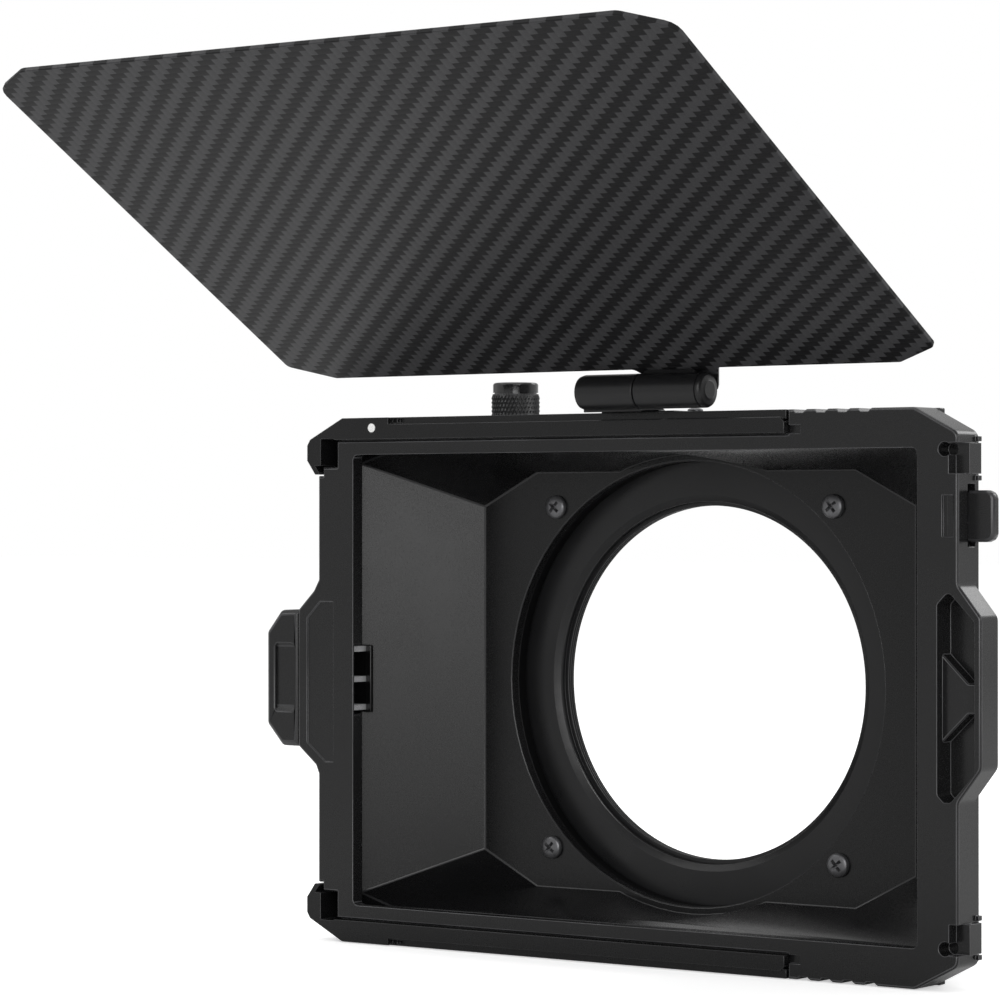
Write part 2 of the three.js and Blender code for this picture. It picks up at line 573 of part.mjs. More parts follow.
// Rails
function railSolid(up) {
  const r = rail;
  const e = ear;
  const span = (low, high) => [Math.min(up * low, up * high), Math.max(up * low, up * high)];
  const flip = up > 0 ? (points) => points : flipZ;
  const lipBack = r.lipThickness - r.proud;
  const legFront = hood.flangeBack;
  const lip = plate(flip([
    [-e.slotRight - clear.slide, r.lipInner], [r.end, r.lipInner], [r.end, r.lipOuter - r.endDrop],
    [r.end - r.endDrop, r.lipOuter], [-e.slotRight - clear.slide, r.lipOuter],
  ]), "y", -r.proud, lipBack);
  const web = block([-e.slotRight - clear.slide, r.end], [0, legFront], span(r.webInner, r.outer));
  const raised = block(
    [-e.slotRight - clear.slide, r.blockRight],
    [-r.proud, lipBack],
    span(r.lipInner, r.outer),
  );
  const leg = block([r.legLeft, r.legRight], [legFront, legFront + r.legDepth], span(r.legInner, r.outer));
  const earBlock = plate(flip([
    [-e.slotRight, e.slotTop], [-e.slotRight, r.outer], [-e.shoulderX, r.outer],
    [-e.shoulderX, e.shoulderZ], [-e.outer, e.sideTop],
    [-e.outer, e.sideBottom], [-e.foot, e.footZ], [-e.toe, e.footZ], [-e.toe, e.toeZ],
    [-e.cutX, e.cutZ], [-e.slotLeft, e.cutZ], [-e.slotLeft, e.slotTop],
  ]), "y", -r.proud, hood.flangeFront);
  const pocket = (index) => {
    const left = r.blockRight + index * (r.pocketWidth + r.pocketRib);
    return block(
      [left, left + r.pocketWidth],
      [-overrun, r.pocketDepth],
      span(r.lipOuter + r.pocketEdge, r.outer - r.pocketEdge),
    );
  };
  const chamfer = plate(flip([
    [-e.chamferX, r.outer], [-e.shoulderX, e.shoulderZ], [-e.shoulderX - overrun, e.shoulderZ],
    [-e.shoulderX - overrun, r.outer + overrun], [-e.chamferX, r.outer + overrun],
  ]), "y", -overrun, legFront + overrun);
  const holes = railScrew.x.map(
    (x) => rod(
      railScrew.shankR + clear.screw,
      "y",
      legFront - overrun,
      legFront + r.legDepth + overrun,
      [x, up * railScrew.z],
    ),
  );
  const base = without(join([lip, web, raised, leg, earBlock]), [chamfer, pocket(0), pocket(1), ...holes]);
  if (up < 0) return base;
  const h = hinge;
  const foot = [h.left - clear.seat, h.footRight + clear.seat];
  const boss = block(
    [foot[0] - h.bossSide, foot[1] + h.bossSide],
    [legFront, h.bossBack],
    [r.legInner, r.outer],
  );
  return without(base.add(boss), [
    block(
      foot,
      [h.footFront - clear.seat, h.footBack + clear.seat],
      [r.outer - h.footSink, r.outer + overrun],
    ),
    rod(dot.radius + clear.pin, "y", -r.proud - overrun, -r.proud + dot.deep, [dot.x, dot.z]),
    ...h.screwX.map(
      (x) => rod(
        h.screwR + clear.screw,
        "z",
        r.outer - h.footSink - h.screwLong,
        r.outer + overrun,
        [x, h.screwY],
      ),
    ),
  ]);
}

const railScrews = () =>
  [1, -1].flatMap((up) =>
    railScrew.x.map((x, i) => {
      const seat = hood.flangeBack + rail.legDepth;
      const solid = screwAlongY([x, up * railScrew.z], seat, -1, railScrew, rail.legDepth + railScrew.bite);
      return piece(`rail_screw_${up > 0 ? "top" : "bottom"}_${i + 1}`, solid, finishes.blackSteel);
    }),
  );

// Hood
function hoodShell() {
  const h = hood;
  const flange = plate([
    [h.flangeLeft, h.flangeZ - h.flangeCutZ], [h.flangeLeft + h.flangeCutX, h.flangeZ],
    [h.flangeRight - h.flangeCutX, h.flangeZ],
    [h.flangeRight, h.flangeZ - h.flangeCutZ], [h.flangeRight, -h.flangeZ + h.flangeCutZ],
    [h.flangeRight - h.flangeCutX, -h.flangeZ],
    [h.flangeLeft + h.flangeCutX, -h.flangeZ], [h.flangeLeft, -h.flangeZ + h.flangeCutZ],
  ], "y", h.flangeFront, h.flangeBack);
  const outerFront = octagon(
    h.frontX + h.wall,
    h.frontLowZ + h.backTaper,
    h.frontCutX + h.backTaper,
    h.frontZ + h.wall,
  );
  const outerBack = octagon(
    h.floorX + h.backTaper,
    h.floorLowZ + h.backTaper / 2,
    h.floorCutX + h.backTaper,
    h.floorZ + h.wall,
  );
  const walls = hull([...at(outerFront, h.flangeFront), ...at(outerBack, h.floorBack)]);
  const boss = rod(h.boss, "y", h.flangeFront + h.flangeThick / 2, h.floorBack, [0, 0], sides.large);
  const midZ = (hook.low + hook.high) / 2;
  const lug = block(
    [h.flangeRight - overrun, h.lugRight],
    [h.flangeFront, h.flangeBack],
    [midZ - h.lugHalf, midZ + h.lugHalf],
  );
  const cheeks = [[h.flangeZ - overrun, rail.outer], [-rail.outer, overrun - h.flangeZ]].map((span) =>
    block([rail.end + clear.slide, h.cheekRight], [h.flangeFront, h.flangeBack], span),
  );
  const mouth = octagon(h.frontX, h.frontLowZ, h.frontCutX, h.frontZ);
  const cavity = hull(
    [
      ...at(mouth, h.flangeFront),
      ...at(octagon(h.floorX, h.floorLowZ, h.floorCutX, h.floorZ), h.floorFront),
    ],
  );
  const entry = plate(mouth, "y", h.flangeFront - overrun, h.flangeFront);
  return without(join([flange, walls, boss, lug, ...cheeks]), [
    cavity, entry,
    rod(h.scallop, "y", h.flangeFront - overrun, h.floorFront, [0, 0], sides.large),
    rod(h.floorBore, "y", h.floorFront - overrun, h.floorBack + overrun, [0, 0], sides.large),
    ...collarScrew.places.map(
      (place) => rod(
        collarScrew.shankR + clear.screw,
        "y",
        h.floorFront - overrun,
        h.floorBack + overrun,
        place,
      ),
    ),
    ...[1, -1].flatMap(
      (up) => railScrew.x.map(
        (x) => rod(
          railScrew.shankR + clear.screw,
          "y",
          h.flangeBack - railScrew.bite - clear.seat,
          h.flangeBack + overrun,
          [x, up * railScrew.z],
        ),
      ),
    ),
    block(
      [hook.left - clear.screw, hook.right + clear.screw],
      [h.flangeFront - overrun, h.flangeBack + overrun],
      [hook.low - clear.screw, hook.high + clear.screw],
    ),
  ]);
}

// Collar, its screws and its snap ring
function clampCollar() {
  const c = collar;
  const l = lock;
  const band = turned([
    [c.shoulderR, c.front], [c.outer, c.front], [c.outer, c.back], [c.bore, c.back],
    [c.bore, c.front + c.shoulderThick], [c.shoulderR, c.front + c.shoulderThick],
  ], "y", [0, 0], sides.large);
  const wide = c.flangeR + overrun;
  const flange = tube(c.shoulderR, c.flangeR, "y", c.front, c.front + c.flangeThick, [0, 0], sides.large)
    .intersect(block([-wide, wide], [c.front - overrun, c.back], [-c.flangeHalfZ, c.flangeHalfZ]));
  const deep = [l.towerFront, l.towerFront + l.towerDeep];
  const bored = rod(c.bore, "y", c.front + c.shoulderThick, c.back + overrun, [0, 0], sides.large);
  const tower = block([l.towerLeft, l.towerRight], deep, [l.towerBottom, l.towerTop])
    .subtract(bored)
    .subtract(rod(ring.outer, "y", c.front, c.back, [0, 0], sides.large));
  const shoeHalf = l.shoeHalf + clear.shoe;
  const bay = l.clipBayHalf;
  return without(join([band, flange, tower]), [
    tube(
      c.bore - overrun,
      c.grooveR,
      "y",
      c.grooveFront,
      c.grooveFront + c.grooveWide,
      [0, 0],
      sides.large,
    ),
    ...collarScrew.places.map(
      (place) => rod(
        collarScrew.shankR + clear.screw,
        "y",
        c.front - overrun,
        c.front + collarScrew.length - hood.floorThick,
        place,
      ),
    ),
    rod(l.studR + clear.pin * 2, "z", l.studBottom - clear.seat, l.towerTop + overrun, [l.x, l.y]),
    block(
      [l.shoeLeft - clear.shoe, l.towerRight + overrun],
      [l.y - shoeHalf, l.y + shoeHalf],
      [l.shoeBottom - l.shoeTravel - clear.seat, l.shoeTop + clear.seat],
    ),
    block(
      [l.x - bay, l.x + bay],
      [l.y - bay, deep[1] + overrun],
      [l.clipZ - l.clipBayHigh / 2, l.clipZ + l.clipBayHigh / 2],
    ),
  ]);
}

function collarScrews() {
  const s = collarScrew;
  return s.places.map(([x, z], i) => {
    const front = hood.floorFront - s.headHigh;
    const body = screwAlongY([x, z], hood.floorFront, 1, s, s.length);
    const arm = (wide, long) => block(
      [x - wide / 2, x + wide / 2],
      [front - overrun, front + s.crossDeep],
      [z - long / 2, z + long / 2],
    );
    const cross = arm(s.crossWide, s.crossLong).add(arm(s.crossLong, s.crossWide));
    return piece(`collar_screw_${i + 1}`, body.subtract(cross), finishes.blackSteel);
  });
}

function snapRingSolid() {
  const { inner, outer, front, thick, openShare } = snapRing;
  const band = tube(inner, outer, "y", front, front + thick, [0, 0], sides.large);
  const half = outer * Math.sin(Math.PI * openShare);
  return band.subtract(
    block([-half, half], [front - overrun, front + thick + overrun], [-outer - overrun, 0]),
  );
}

// Lens ring: chamfered mouth, stepped bore, counterbore and the spigot that the lens holds
function lensRing() {
  const r = ring;
  return turned([
    [r.faceInner, r.front], [r.outer, r.front], [r.outer, r.back], [r.spigot, r.back], [r.spigot, r.seat],
    [r.counterbore, r.seat], [r.counterbore, r.front + r.boreEnd], [r.bore, r.front + r.boreEnd],
    [r.bore, r.front + r.mouthEnd], [r.mouth, r.front + r.mouthEnd], [r.mouth, r.front + r.chamfer],
  ], "y", [0, 0], sides.large);
}

// Lock knob, stud, clip and shoe
function knurled(radius, from, to, centre) {
  const outline = Array.from({ length: lock.teeth * 2 }, (_, i) => {
    const turn = (Math.PI * i) / lock.teeth;
    const reach = i % 2 ? radius - lock.toothDeep : radius;
    return [centre[0] + reach * Math.cos(turn), centre[1] + reach * Math.sin(turn)];
  });
  return plate(outline, "z", from, to);
}

function lockParts() {
  const l = lock;
  const centre = [l.x, l.y];
  const hole = rod(l.studR + clear.pin, "z", l.towerTop, l.knurlTo - l.capEdge, centre);
  const body = rod(
    l.neckR,
    "z",
    l.towerTop + clear.seat,
    l.knurlFrom,
    centre,
  ).add(knurled(l.knurlR, l.knurlFrom, l.knurlTo, centre)).subtract(hole);
  const cap = turned(
    [
      [0, l.knurlTo], [l.capR, l.knurlTo], [l.capR, l.capTop - l.capEdge], [l.capR - l.capEdge, l.capTop],
      [0, l.capTop],
    ],
    "z",
    centre,
  );
  const stud = rod(l.studR, "z", l.studBottom, l.knurlTo - l.capEdge - clear.seat, centre);
  const clip = tube(
    l.studR + clear.pin,
    l.clipR,
    "z",
    l.clipZ - l.clipThick / 2,
    l.clipZ + l.clipThick / 2,
    centre,
  )
    .subtract(
      block(
        [l.x - l.studR / 2, l.x + l.studR / 2],
        [l.y, l.y + l.clipR + overrun],
        [l.clipZ - l.clipThick, l.clipZ + l.clipThick],
      ),
    );
  const flank = rod(
    ring.outer + clear.seat,
    "y",
    ring.front - overrun,
    ring.back + overrun,
    [0, 0],
    sides.large,
  );
  const blank = block(
    [l.shoeLeft, l.towerRight],
    [l.y - l.shoeHalf, l.y + l.shoeHalf],
    [l.shoeBottom, l.shoeTop],
  );
  const shoe = without(blank, [
    flank, rod(l.studR + clear.pin * 2, "z", l.shoeBottom - overrun, l.shoeTop + overrun, centre),
  ]);
  return [
    piece("knob_body", body, finishes.anodised),
    piece("knob_cap", cap, finishes.moulded),
    piece("lock_stud", stud, finishes.blackSteel),
    piece("lock_clip", clip, finishes.springSteel),
    piece("lock_shoe", shoe, finishes.moulded),
  ];
}

// Fixed half of the hinge: barrel, stem and foot, with the pin and the screws
function hingeFixed() {
  const h = hinge;
  const axis = [h.y, h.z];
  const top = rail.outer;
  const floor = top - h.footSink;
  const barrel = rod(h.radius, "x", h.left, h.seam, axis, sides.middle);
  const over = top + clear.seat;
  const stem = plate([
    [h.footFront, floor], [h.footFront, over], [-rail.proud - clear.seat, over], [h.y, top],
    [h.y, h.z - h.radius / 2], [h.y + h.radius, h.z], [h.stemBack, floor + h.footThick],
    [h.stemBack, floor],
  ], "x", h.left, h.seam);
  const foot = block([h.left, h.footRight], [h.footFront, h.footBack], [floor, floor + h.footThick]);
  return without(join([barrel, stem, foot]), [
    rod(h.pinR + clear.pin, "x", h.left - overrun, h.seam + overrun, axis),
    ...h.screwX.map((x) => rod(h.screwR + clear.screw, "z", floor - overrun, top + overrun, [x, h.screwY])),
  ]);
}

function hingeParts() {
  const h = hinge;
  const seat = rail.outer - h.footSink + h.footThick;
  const screws = h.screwX.map((x, i) => {
    const centre = [x, h.screwY];
    const solid = rod(
      h.screwHead,
      "z",
      seat,
      seat + h.screwHeadHigh,
      centre,
    ).add(rod(h.screwR, "z", seat - h.screwLong, seat, centre));
    return piece(`bracket_screw_${i + 1}`, solid, finishes.blackSteel);
  });
  const pin = rod(h.pinR, "x", h.left + h.pinInset, h.right - h.pinInset, [h.y, h.z]);
  return [
    piece("hinge_bracket", hingeFixed(), finishes.anodised), piece("hinge_pin", pin, finishes.blackSteel),
    ...screws,
  ];
}

// Flag in its own frame, whose X axis is the hinge
function flagParts() {
  const f = flag;
  const h = hinge;
  const under = f.lift;
  const over = f.lift + f.thickness;
  const backEdge = -f.setAhead;
  const frontEdge = backEdge - f.length;
  const tip = backEdge + f.tongueLong;
  const left = f.offset - f.halfWidth;
  const right = f.offset + f.halfWidth;
  const outline = softened([
    [left + f.frontCutX, frontEdge, f.frontRound], [right - f.frontCutX, frontEdge, f.frontRound],
    [right, frontEdge + f.frontCutY, f.frontRound],
    [right, backEdge - f.backCutY, f.backRound], [right - f.backCutX, backEdge, f.backRound],
    [f.tongueRight, backEdge, f.tongueRound],
    [f.tongueTipRight, tip, f.tongueRound], [f.tongueTipLeft, tip, f.tongueRound],
    [f.tongueLeft, backEdge, f.tongueRound],
    [left + f.backCutX, backEdge, f.backRound], [left, backEdge - f.backCutY, f.backRound],
    [left, frontEdge + f.frontCutY, f.frontRound],
  ]);
  const place = (x) => [x, f.screwY];
  const holes = (from, to) => f.screwX.map((x) => rod(f.screwR + clear.screw, "z", from, to, place(x)));
  const panel = without(plate(outline, "z", under, over), holes(under - overrun, over + overrun));
  const start = h.seam + h.seamGap;
  const leafTop = under - f.plateGap;
  const leaf = plate(softened([
    [f.leafLeft, -f.leafFront, f.leafRound], [f.leafRight, -f.leafFront, f.leafRound],
    [f.leafRight, f.leafBack, f.leafRound], [f.leafLeft, f.leafBack, f.leafRound],
  ]), "z", leafTop - f.leafThick, leafTop);
  const barrel = turned([
    [0, start], [h.radius, start], [h.radius, h.right - h.endLong], [h.radius - h.endDrop, h.right],
    [0, h.right],
  ], "x", [0, 0]);
  const knuckle = without(barrel.add(leaf), [
    rod(h.pinR + clear.pin, "x", start - overrun, h.right + overrun, [0, 0]),
    rod(h.washerR + clear.pin, "x", start - overrun, start + h.washerThick + clear.pin * 2, [0, 0]),
    ...holes(-overrun, over),
  ]);
  const washer = tube(
    h.pinR + clear.pin,
    h.washerR,
    "x",
    start + clear.pin,
    start + clear.pin + h.washerThick,
    [0, 0],
  );
  const plateFrom = over + f.plateGap;
  const plateTo = plateFrom + f.plateThick;
  const strip = plate(softened([
    [f.plateLeft, -f.plateFront, f.plateRound], [f.plateRight, -f.plateFront, f.plateRound],
    [f.plateRight, tip - f.plateInset, f.plateRound], [f.plateLeft, tip - f.plateInset, f.plateRound],
  ]), "z", plateFrom, plateTo);
  const clamp = without(strip, holes(plateFrom - overrun, plateTo + overrun));
  const screws = f.screwX.map((x, i) => {
    const shank = rod(f.screwR, "z", leafTop - f.leafThick, plateTo, place(x));
    return piece(
      `flag_screw_${i + 1}`,
      shank.add(rod(f.screwHead, "z", plateTo, plateTo + f.screwHeadHigh, place(x))),
      finishes.blackSteel,
    );
  });
  const parts = group(
    piece("flag_panel", panel, finishes.carbon),
    piece("flag_leaf", knuckle, finishes.anodised),
    piece("flag_clamp", clamp, finishes.anodised),
    piece("hinge_washer", washer, finishes.springSteel),
    ...screws,
  );
  parts.position.set(0, h.y, h.z);
  parts.rotation.x = -THREE.MathUtils.degToRad(f.tilt);
  return parts;
}

// Filter latch: thumb piece with its slider, three bars, the tip that holds the filter, and two springs
function latchParts() {
  const l = latch;
  const t = thumb;
  const inner = tab.outer + clear.seat;
  const outline = [
    [-inner, tab.top], [-t.topX, t.top, t.round], [-t.outer, t.sideTop, t.round],
    [-t.outer, t.sideBottom, t.round], [-t.bottomX, t.bottom, t.round], [-inner, t.bottom],
  ];
  const headLeft = -l.bayLeft - clear.seat - l.headThick;
  const headRight = headLeft + l.headThick;
  const neck = block(
    [-inner - overrun, headLeft + l.headThick / 2],
    [l.neckFront, l.neckBack],
    [-l.neckHalf, l.neckHalf],
  );
  const head = block([headLeft, headRight], [l.neckFront, l.headBack], [-l.headHalf, l.headHalf]);
  const recess = plate(softened([
    [-t.recessLeft, t.recessBottom, t.recessRound], [-t.recessRight, t.recessBottom, t.recessRound],
    [-t.recessRight, t.recessTop, t.recessRound], [-t.recessLeft, t.recessTop, t.recessRound],
  ]), "y", t.front - overrun, t.front + t.recessDepth);
  const pad = plate(softened(outline), "y", t.front, t.back, t.edge).subtract(recess);
  const grasp = join([pad, neck, head]);
  const bars = l.barZ.map((z, i) => {
    const height = [z - l.barHigh / 2, z + l.barHigh / 2];
    const arm = block([headRight, -l.barRight], [l.barFront, l.barBack], height);
    const limb = block([-l.barRight - l.barWide, -l.barRight], [l.limbFront, l.barBack], height);
    return piece(`latch_bar_${i + 1}`, arm.add(limb), finishes.springSteel);
  });
  const sole = block([headRight, -l.tipRight], [l.barBack, l.tipBack], [-l.tipHalf, l.tipHalf]);
  const nose = block([-l.tipLeft, -l.tipRight], [l.noseFront, l.tipBack], [-l.tipHalf, l.tipHalf]);
  const springFrom = -tab.outer + l.wall + clear.seat;
  const springs = [1, -1].map((up) => {
    const centre = [(l.neckFront + l.neckBack) / 2, up * l.springZ];
    const solid = tube(l.springBore, l.springR, "x", springFrom, headLeft - clear.seat, centre);
    return piece(`latch_spring_${up > 0 ? "upper" : "lower"}`, solid, finishes.springSteel);
  });
  return {
    moving: [
      piece("latch_grip", grasp, finishes.moulded), ...bars,
      piece("latch_tip", sole.add(nose), finishes.moulded),
    ],
    springs,
  };
}

function latchCover() {
  const l = latch;
  const places = [1, -1].map((up) => [-l.screwX, up * l.screwZ]);
  const half = l.coverHalf - clear.seat;
  const lid = block([-tab.outer, -l.coverRight - clear.seat], [l.coverFront, tray.depth], [-half, half]);
  const holes = places.map(
    (place) => rod(l.screwR + clear.screw, "y", l.coverFront - overrun, tray.depth + overrun, place),
  );
  const size = { headR: l.screwHead, headHigh: l.screwHeadHigh, shankR: l.screwR };
  const screws = places.map(
    (place, i) => piece(
      `latch_cover_screw_${i + 1}`,
      screwAlongY(place, tray.depth, -1, size, l.screwLong),
      finishes.blackSteel,
    ),
  );
  return [piece("latch_cover", without(lid, holes), finishes.moulded), ...screws];
}

// Release button with two wedge prongs
function releaseButton() {
  const b = button;
  const body = plate(softened([
    [b.bodyFrom, b.low], [b.outer, b.low, b.round], [b.outer, b.high, b.round], [b.bodyFrom, b.high],
  ]), "y", b.front, b.back);
  const wedge = [
    [b.bodyFrom + overrun, b.front], [b.wedgeX, b.front],
    [b.prongReach, b.front + b.wedgeX - b.prongReach], [b.prongReach, b.back],
    [b.bodyFrom + overrun, b.back],
  ];
  const highProng = b.low + b.high - b.prongLow;
  return join(
    [
      body, plate(wedge, "z", b.prongLow, b.prongLow + b.prongThick),
      plate(wedge, "z", highProng - b.prongThick, highProng),
    ],
  );
}

// Spring-steel catch: a riveted leaf, a hook that enters the hood flange, and wings that the prongs push
function trayCatch() {
  const h = hook;
  const leaf = block(
    [h.leafLeft, h.leafRight],
    [h.leafFloor, h.leafFloor + h.leafThick],
    [h.leafLow, h.high],
  );
  const stem = block([h.left, h.right], [h.leafFloor, h.back], [h.low, h.high]);
  const highWing = button.low + button.high - button.prongLow;
  const wings = plate([
    [h.left, h.wingFront], [h.wingRight, h.wingFront],
    [h.wingRight, h.wingBack - (h.wingRight - h.right + clear.seat)],
    [h.right - clear.seat, h.wingBack], [h.left, h.wingBack],
  ], "z", button.prongLow, highWing);
  const rivetHole = rod(
    h.rivetR + clear.pin * 2,
    "y",
    h.leafFloor - overrun,
    h.leafFloor + overrun,
    [(h.leafLeft + h.leafRight) / 2, h.rivetZ],
  );
  return join([leaf, stem, wings]).subtract(rivetHole);
}

function catchRivet() {
  const h = hook;
  const size = { headR: h.rivetHead, headHigh: h.rivetHeadHigh, shankR: h.rivetR };
  return screwAlongY(
    [(h.leafLeft + h.leafRight) / 2, h.rivetZ],
    h.leafFloor + h.leafThick,
    -1,
    size,
    h.leafThick + h.rivetDeep,
  );
}

// Assembly
const latchMade = latchParts();
const housing = group(
  piece("hood_shell", hoodShell(), finishes.moulded),
  piece("rail_top", railSolid(1), finishes.moulded),
  piece("rail_bottom", railSolid(-1), finishes.moulded),
  ...railScrews(),
  piece(
    "index_dot",
    rod(dot.radius, "y", -rail.proud, -rail.proud + dot.deep, [dot.x, dot.z]),
    finishes.marking,
  ),
  piece("clamp_collar", clampCollar(), finishes.anodised),
  ...collarScrews(),
  piece("snap_ring", snapRingSolid(), finishes.springSteel),
  ...hingeParts(),
);
const lensGroup = group(piece("adapter_ring", lensRing(), finishes.anodised));
const lockGroup = group(...lockParts());
const trayGroup = group(
  piece("tray_frame", trayFrame(), finishes.moulded),
  piece("tray_catch", trayCatch(), finishes.springSteel),
  piece("catch_rivet", catchRivet(), finishes.blackSteel),
  ...latchCover(),
  ...latchMade.springs,
);
const latchGroup = group(...latchMade.moving);
const buttonGroup = group(piece("release_button", releaseButton(), finishes.moulded));

// The origin is the centre of the lens seat, at the back of the ring's spigot
const assembly = group(housing, lensGroup, lockGroup, trayGroup, latchGroup, buttonGroup, flagParts());
assembly.position.y = -ring.seat;

export default group(assembly);
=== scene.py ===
# %% [markdown]
# # A matte box for a cine lens
#
# The real thing is a moulded black hood that clamps on a lens ring. A filter tray slides through two
# rails on its front, and a carbon fibre flag hangs over it on a friction hinge. All of its sizes are
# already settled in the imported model, so this script starts from that model and only dresses it.
#
# Each moulded or machined piece could be modelled again by hand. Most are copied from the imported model
# and get softened edges instead, because then no dimension can drift.

import json
import math

import bmesh
import bpy
from mathutils import Matrix, Vector


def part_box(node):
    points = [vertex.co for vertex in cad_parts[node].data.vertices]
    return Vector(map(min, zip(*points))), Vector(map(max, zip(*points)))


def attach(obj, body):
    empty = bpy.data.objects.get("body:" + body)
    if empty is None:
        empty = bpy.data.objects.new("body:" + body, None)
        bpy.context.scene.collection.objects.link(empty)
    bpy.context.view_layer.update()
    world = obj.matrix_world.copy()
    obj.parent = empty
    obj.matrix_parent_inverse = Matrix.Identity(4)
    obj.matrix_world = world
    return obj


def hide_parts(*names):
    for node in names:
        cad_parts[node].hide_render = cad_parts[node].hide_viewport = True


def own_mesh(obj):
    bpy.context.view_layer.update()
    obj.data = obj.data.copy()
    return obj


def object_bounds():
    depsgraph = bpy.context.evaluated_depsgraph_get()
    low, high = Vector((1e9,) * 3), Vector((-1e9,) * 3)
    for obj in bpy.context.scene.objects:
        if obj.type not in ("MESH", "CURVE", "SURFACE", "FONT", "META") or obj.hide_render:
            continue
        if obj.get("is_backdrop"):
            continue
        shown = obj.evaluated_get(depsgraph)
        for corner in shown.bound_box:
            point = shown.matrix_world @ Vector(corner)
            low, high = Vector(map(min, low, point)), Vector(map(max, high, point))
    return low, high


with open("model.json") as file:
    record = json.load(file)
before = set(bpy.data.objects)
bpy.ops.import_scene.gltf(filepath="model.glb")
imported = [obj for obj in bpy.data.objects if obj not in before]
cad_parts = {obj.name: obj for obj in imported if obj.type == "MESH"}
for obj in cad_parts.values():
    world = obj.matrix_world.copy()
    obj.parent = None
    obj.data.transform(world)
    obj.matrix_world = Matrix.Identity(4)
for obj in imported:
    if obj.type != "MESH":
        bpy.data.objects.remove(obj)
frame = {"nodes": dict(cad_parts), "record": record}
cad_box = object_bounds()
MM = 0.001
cad_size = [round(side / MM, 1) for side in cad_box[1] - cad_box[0]]
print("packed model:", len(frame["nodes"]), "pieces,", cad_size, "mm")

# %% [markdown]
# ## Where the camera stands
#
# The product picture was taken from the front right, level with the box, through a long lens.
# A long lens flattens the perspective, so the two sides of the frame stay almost parallel. The numbers
# come from fitting the corners of the opening, the screws and the lens hole.

# %% Camera
camera_at = Vector((437.377, -678.060, 34.505)) * MM
looks_at = Vector((-30.408, -43.400, 38.643)) * MM
camera = bpy.data.objects.new("camera", bpy.data.cameras.new("camera"))
camera.location = camera_at
camera.rotation_euler = (looks_at - camera_at).to_track_quat("-Z", "Y").to_euler()
camera.data.lens = 135.62
camera.data.sensor_width = 36.0
camera.data.clip_start = 0.01
camera.data.clip_end = 50.0
bpy.context.scene.collection.objects.link(camera)
bpy.context.scene.camera = camera
bpy.context.scene.view_settings.view_transform = "Standard"
print("camera stands", round((looks_at - camera_at).length, 3), "m away")

# %% [markdown]
# ## Wiring a finish
#
# A finish is a small graph of nodes. Writing each node and each wire in full hides what the graph does,
# so these helpers let a graph read as arithmetic: each returns a socket that the next one takes. The
# surroundings have a node tree too, so the same helpers wire them further down.

# %% Wires and arithmetic
def new_finish(name):
    """A finish with its shader, ready to be wired."""
    finish = bpy.data.materials.new(name)
    finish.use_nodes = True
    return finish, finish.node_tree.nodes["Principled BSDF"]


def plug_in(finish, value, socket):
    """Puts a number or a colour on a socket, or wires another socket to it."""
    if isinstance(value, bpy.types.NodeSocket):
        finish.node_tree.links.new(value, socket)
    else:
        socket.default_value = value


def calc(finish, operation, *values):
    """One step of arithmetic."""
    made = finish.node_tree.nodes.new("ShaderNodeMath")
    made.operation = operation
    for value, socket in zip(values, made.inputs):
        plug_in(finish, value, socket)
    return made.outputs[0]


print("helpers: new_finish, plug_in, calc")

# %% [markdown]
# ## Places and spots
#
# No real surface is even: gloss and colour wander a little. Noise sampled at the piece's own coordinates
# gives that wandering, and it stays on the piece when the piece moves. A noise value is rarely below 0.3
# or above 0.7, so that range is stretched to the range that is wanted.

# %% Places, spots and ranges
NOISE_LOW, NOISE_HIGH = 0.3, 0.7


def span(finish, value, low, high, to_low=0.0, to_high=1.0):
    """Stretches one range of numbers over another, and stops at its ends."""
    made = finish.node_tree.nodes.new("ShaderNodeMapRange")
    plug_in(finish, value, made.inputs["Value"])
    ends = {"From Min": low, "From Max": high, "To Min": to_low, "To Max": to_high}
    for socket, end in ends.items():
        made.inputs[socket].default_value = end
    return made.outputs["Result"]


def place_on(finish):
    """A point on the piece, in metres, that moves with the piece."""
    return finish.node_tree.nodes.new("ShaderNodeTexCoord").outputs["Object"]


def speckle(finish, place, size, detail=2.0):
    """Soft random spots of about the given size in metres."""
    made = finish.node_tree.nodes.new("ShaderNodeTexNoise")
    plug_in(finish, place, made.inputs["Vector"])
    made.inputs["Scale"].default_value = 1.0 / size
    made.inputs["Detail"].default_value = detail
    return made.outputs["Fac"]


print("noise is read from", NOISE_LOW, "to", NOISE_HIGH)

# %% [markdown]
# ## Colour and relief
#
# Two colours and a share between them make the painted highlight on rounded edges and the painted sheen of
# woven tows. A bump node tilts the light on a flat face as fine grain would. It is only used for relief far
# smaller than a tenth of a millimetre, because anything larger should be real geometry that also shows in the
# outline.

# %% Colour and relief
def blend_colours(finish, share, first, second):
    """First colour where the share is 0, and second where it is 1."""
    made = finish.node_tree.nodes.new("ShaderNodeMix")
    made.data_type = "RGBA"
    plug_in(finish, share, made.inputs["Factor"])
    plug_in(finish, (*first, 1.0), made.inputs[6])
    plug_in(finish, (*second, 1.0), made.inputs[7])
    return made.outputs[2]


def raise_surface(finish, shader, height, depth, strength=1.0):
    """Turns a height of 0 to 1 into small relief of the given depth in metres."""
    made = finish.node_tree.nodes.new("ShaderNodeBump")
    made.inputs["Strength"].default_value = strength
    made.inputs["Distance"].default_value = depth
    plug_in(finish, height, made.inputs["Height"])
    plug_in(finish, made.outputs["Normal"], shader.inputs["Normal"])


print("helpers: blend_colours, raise_surface")
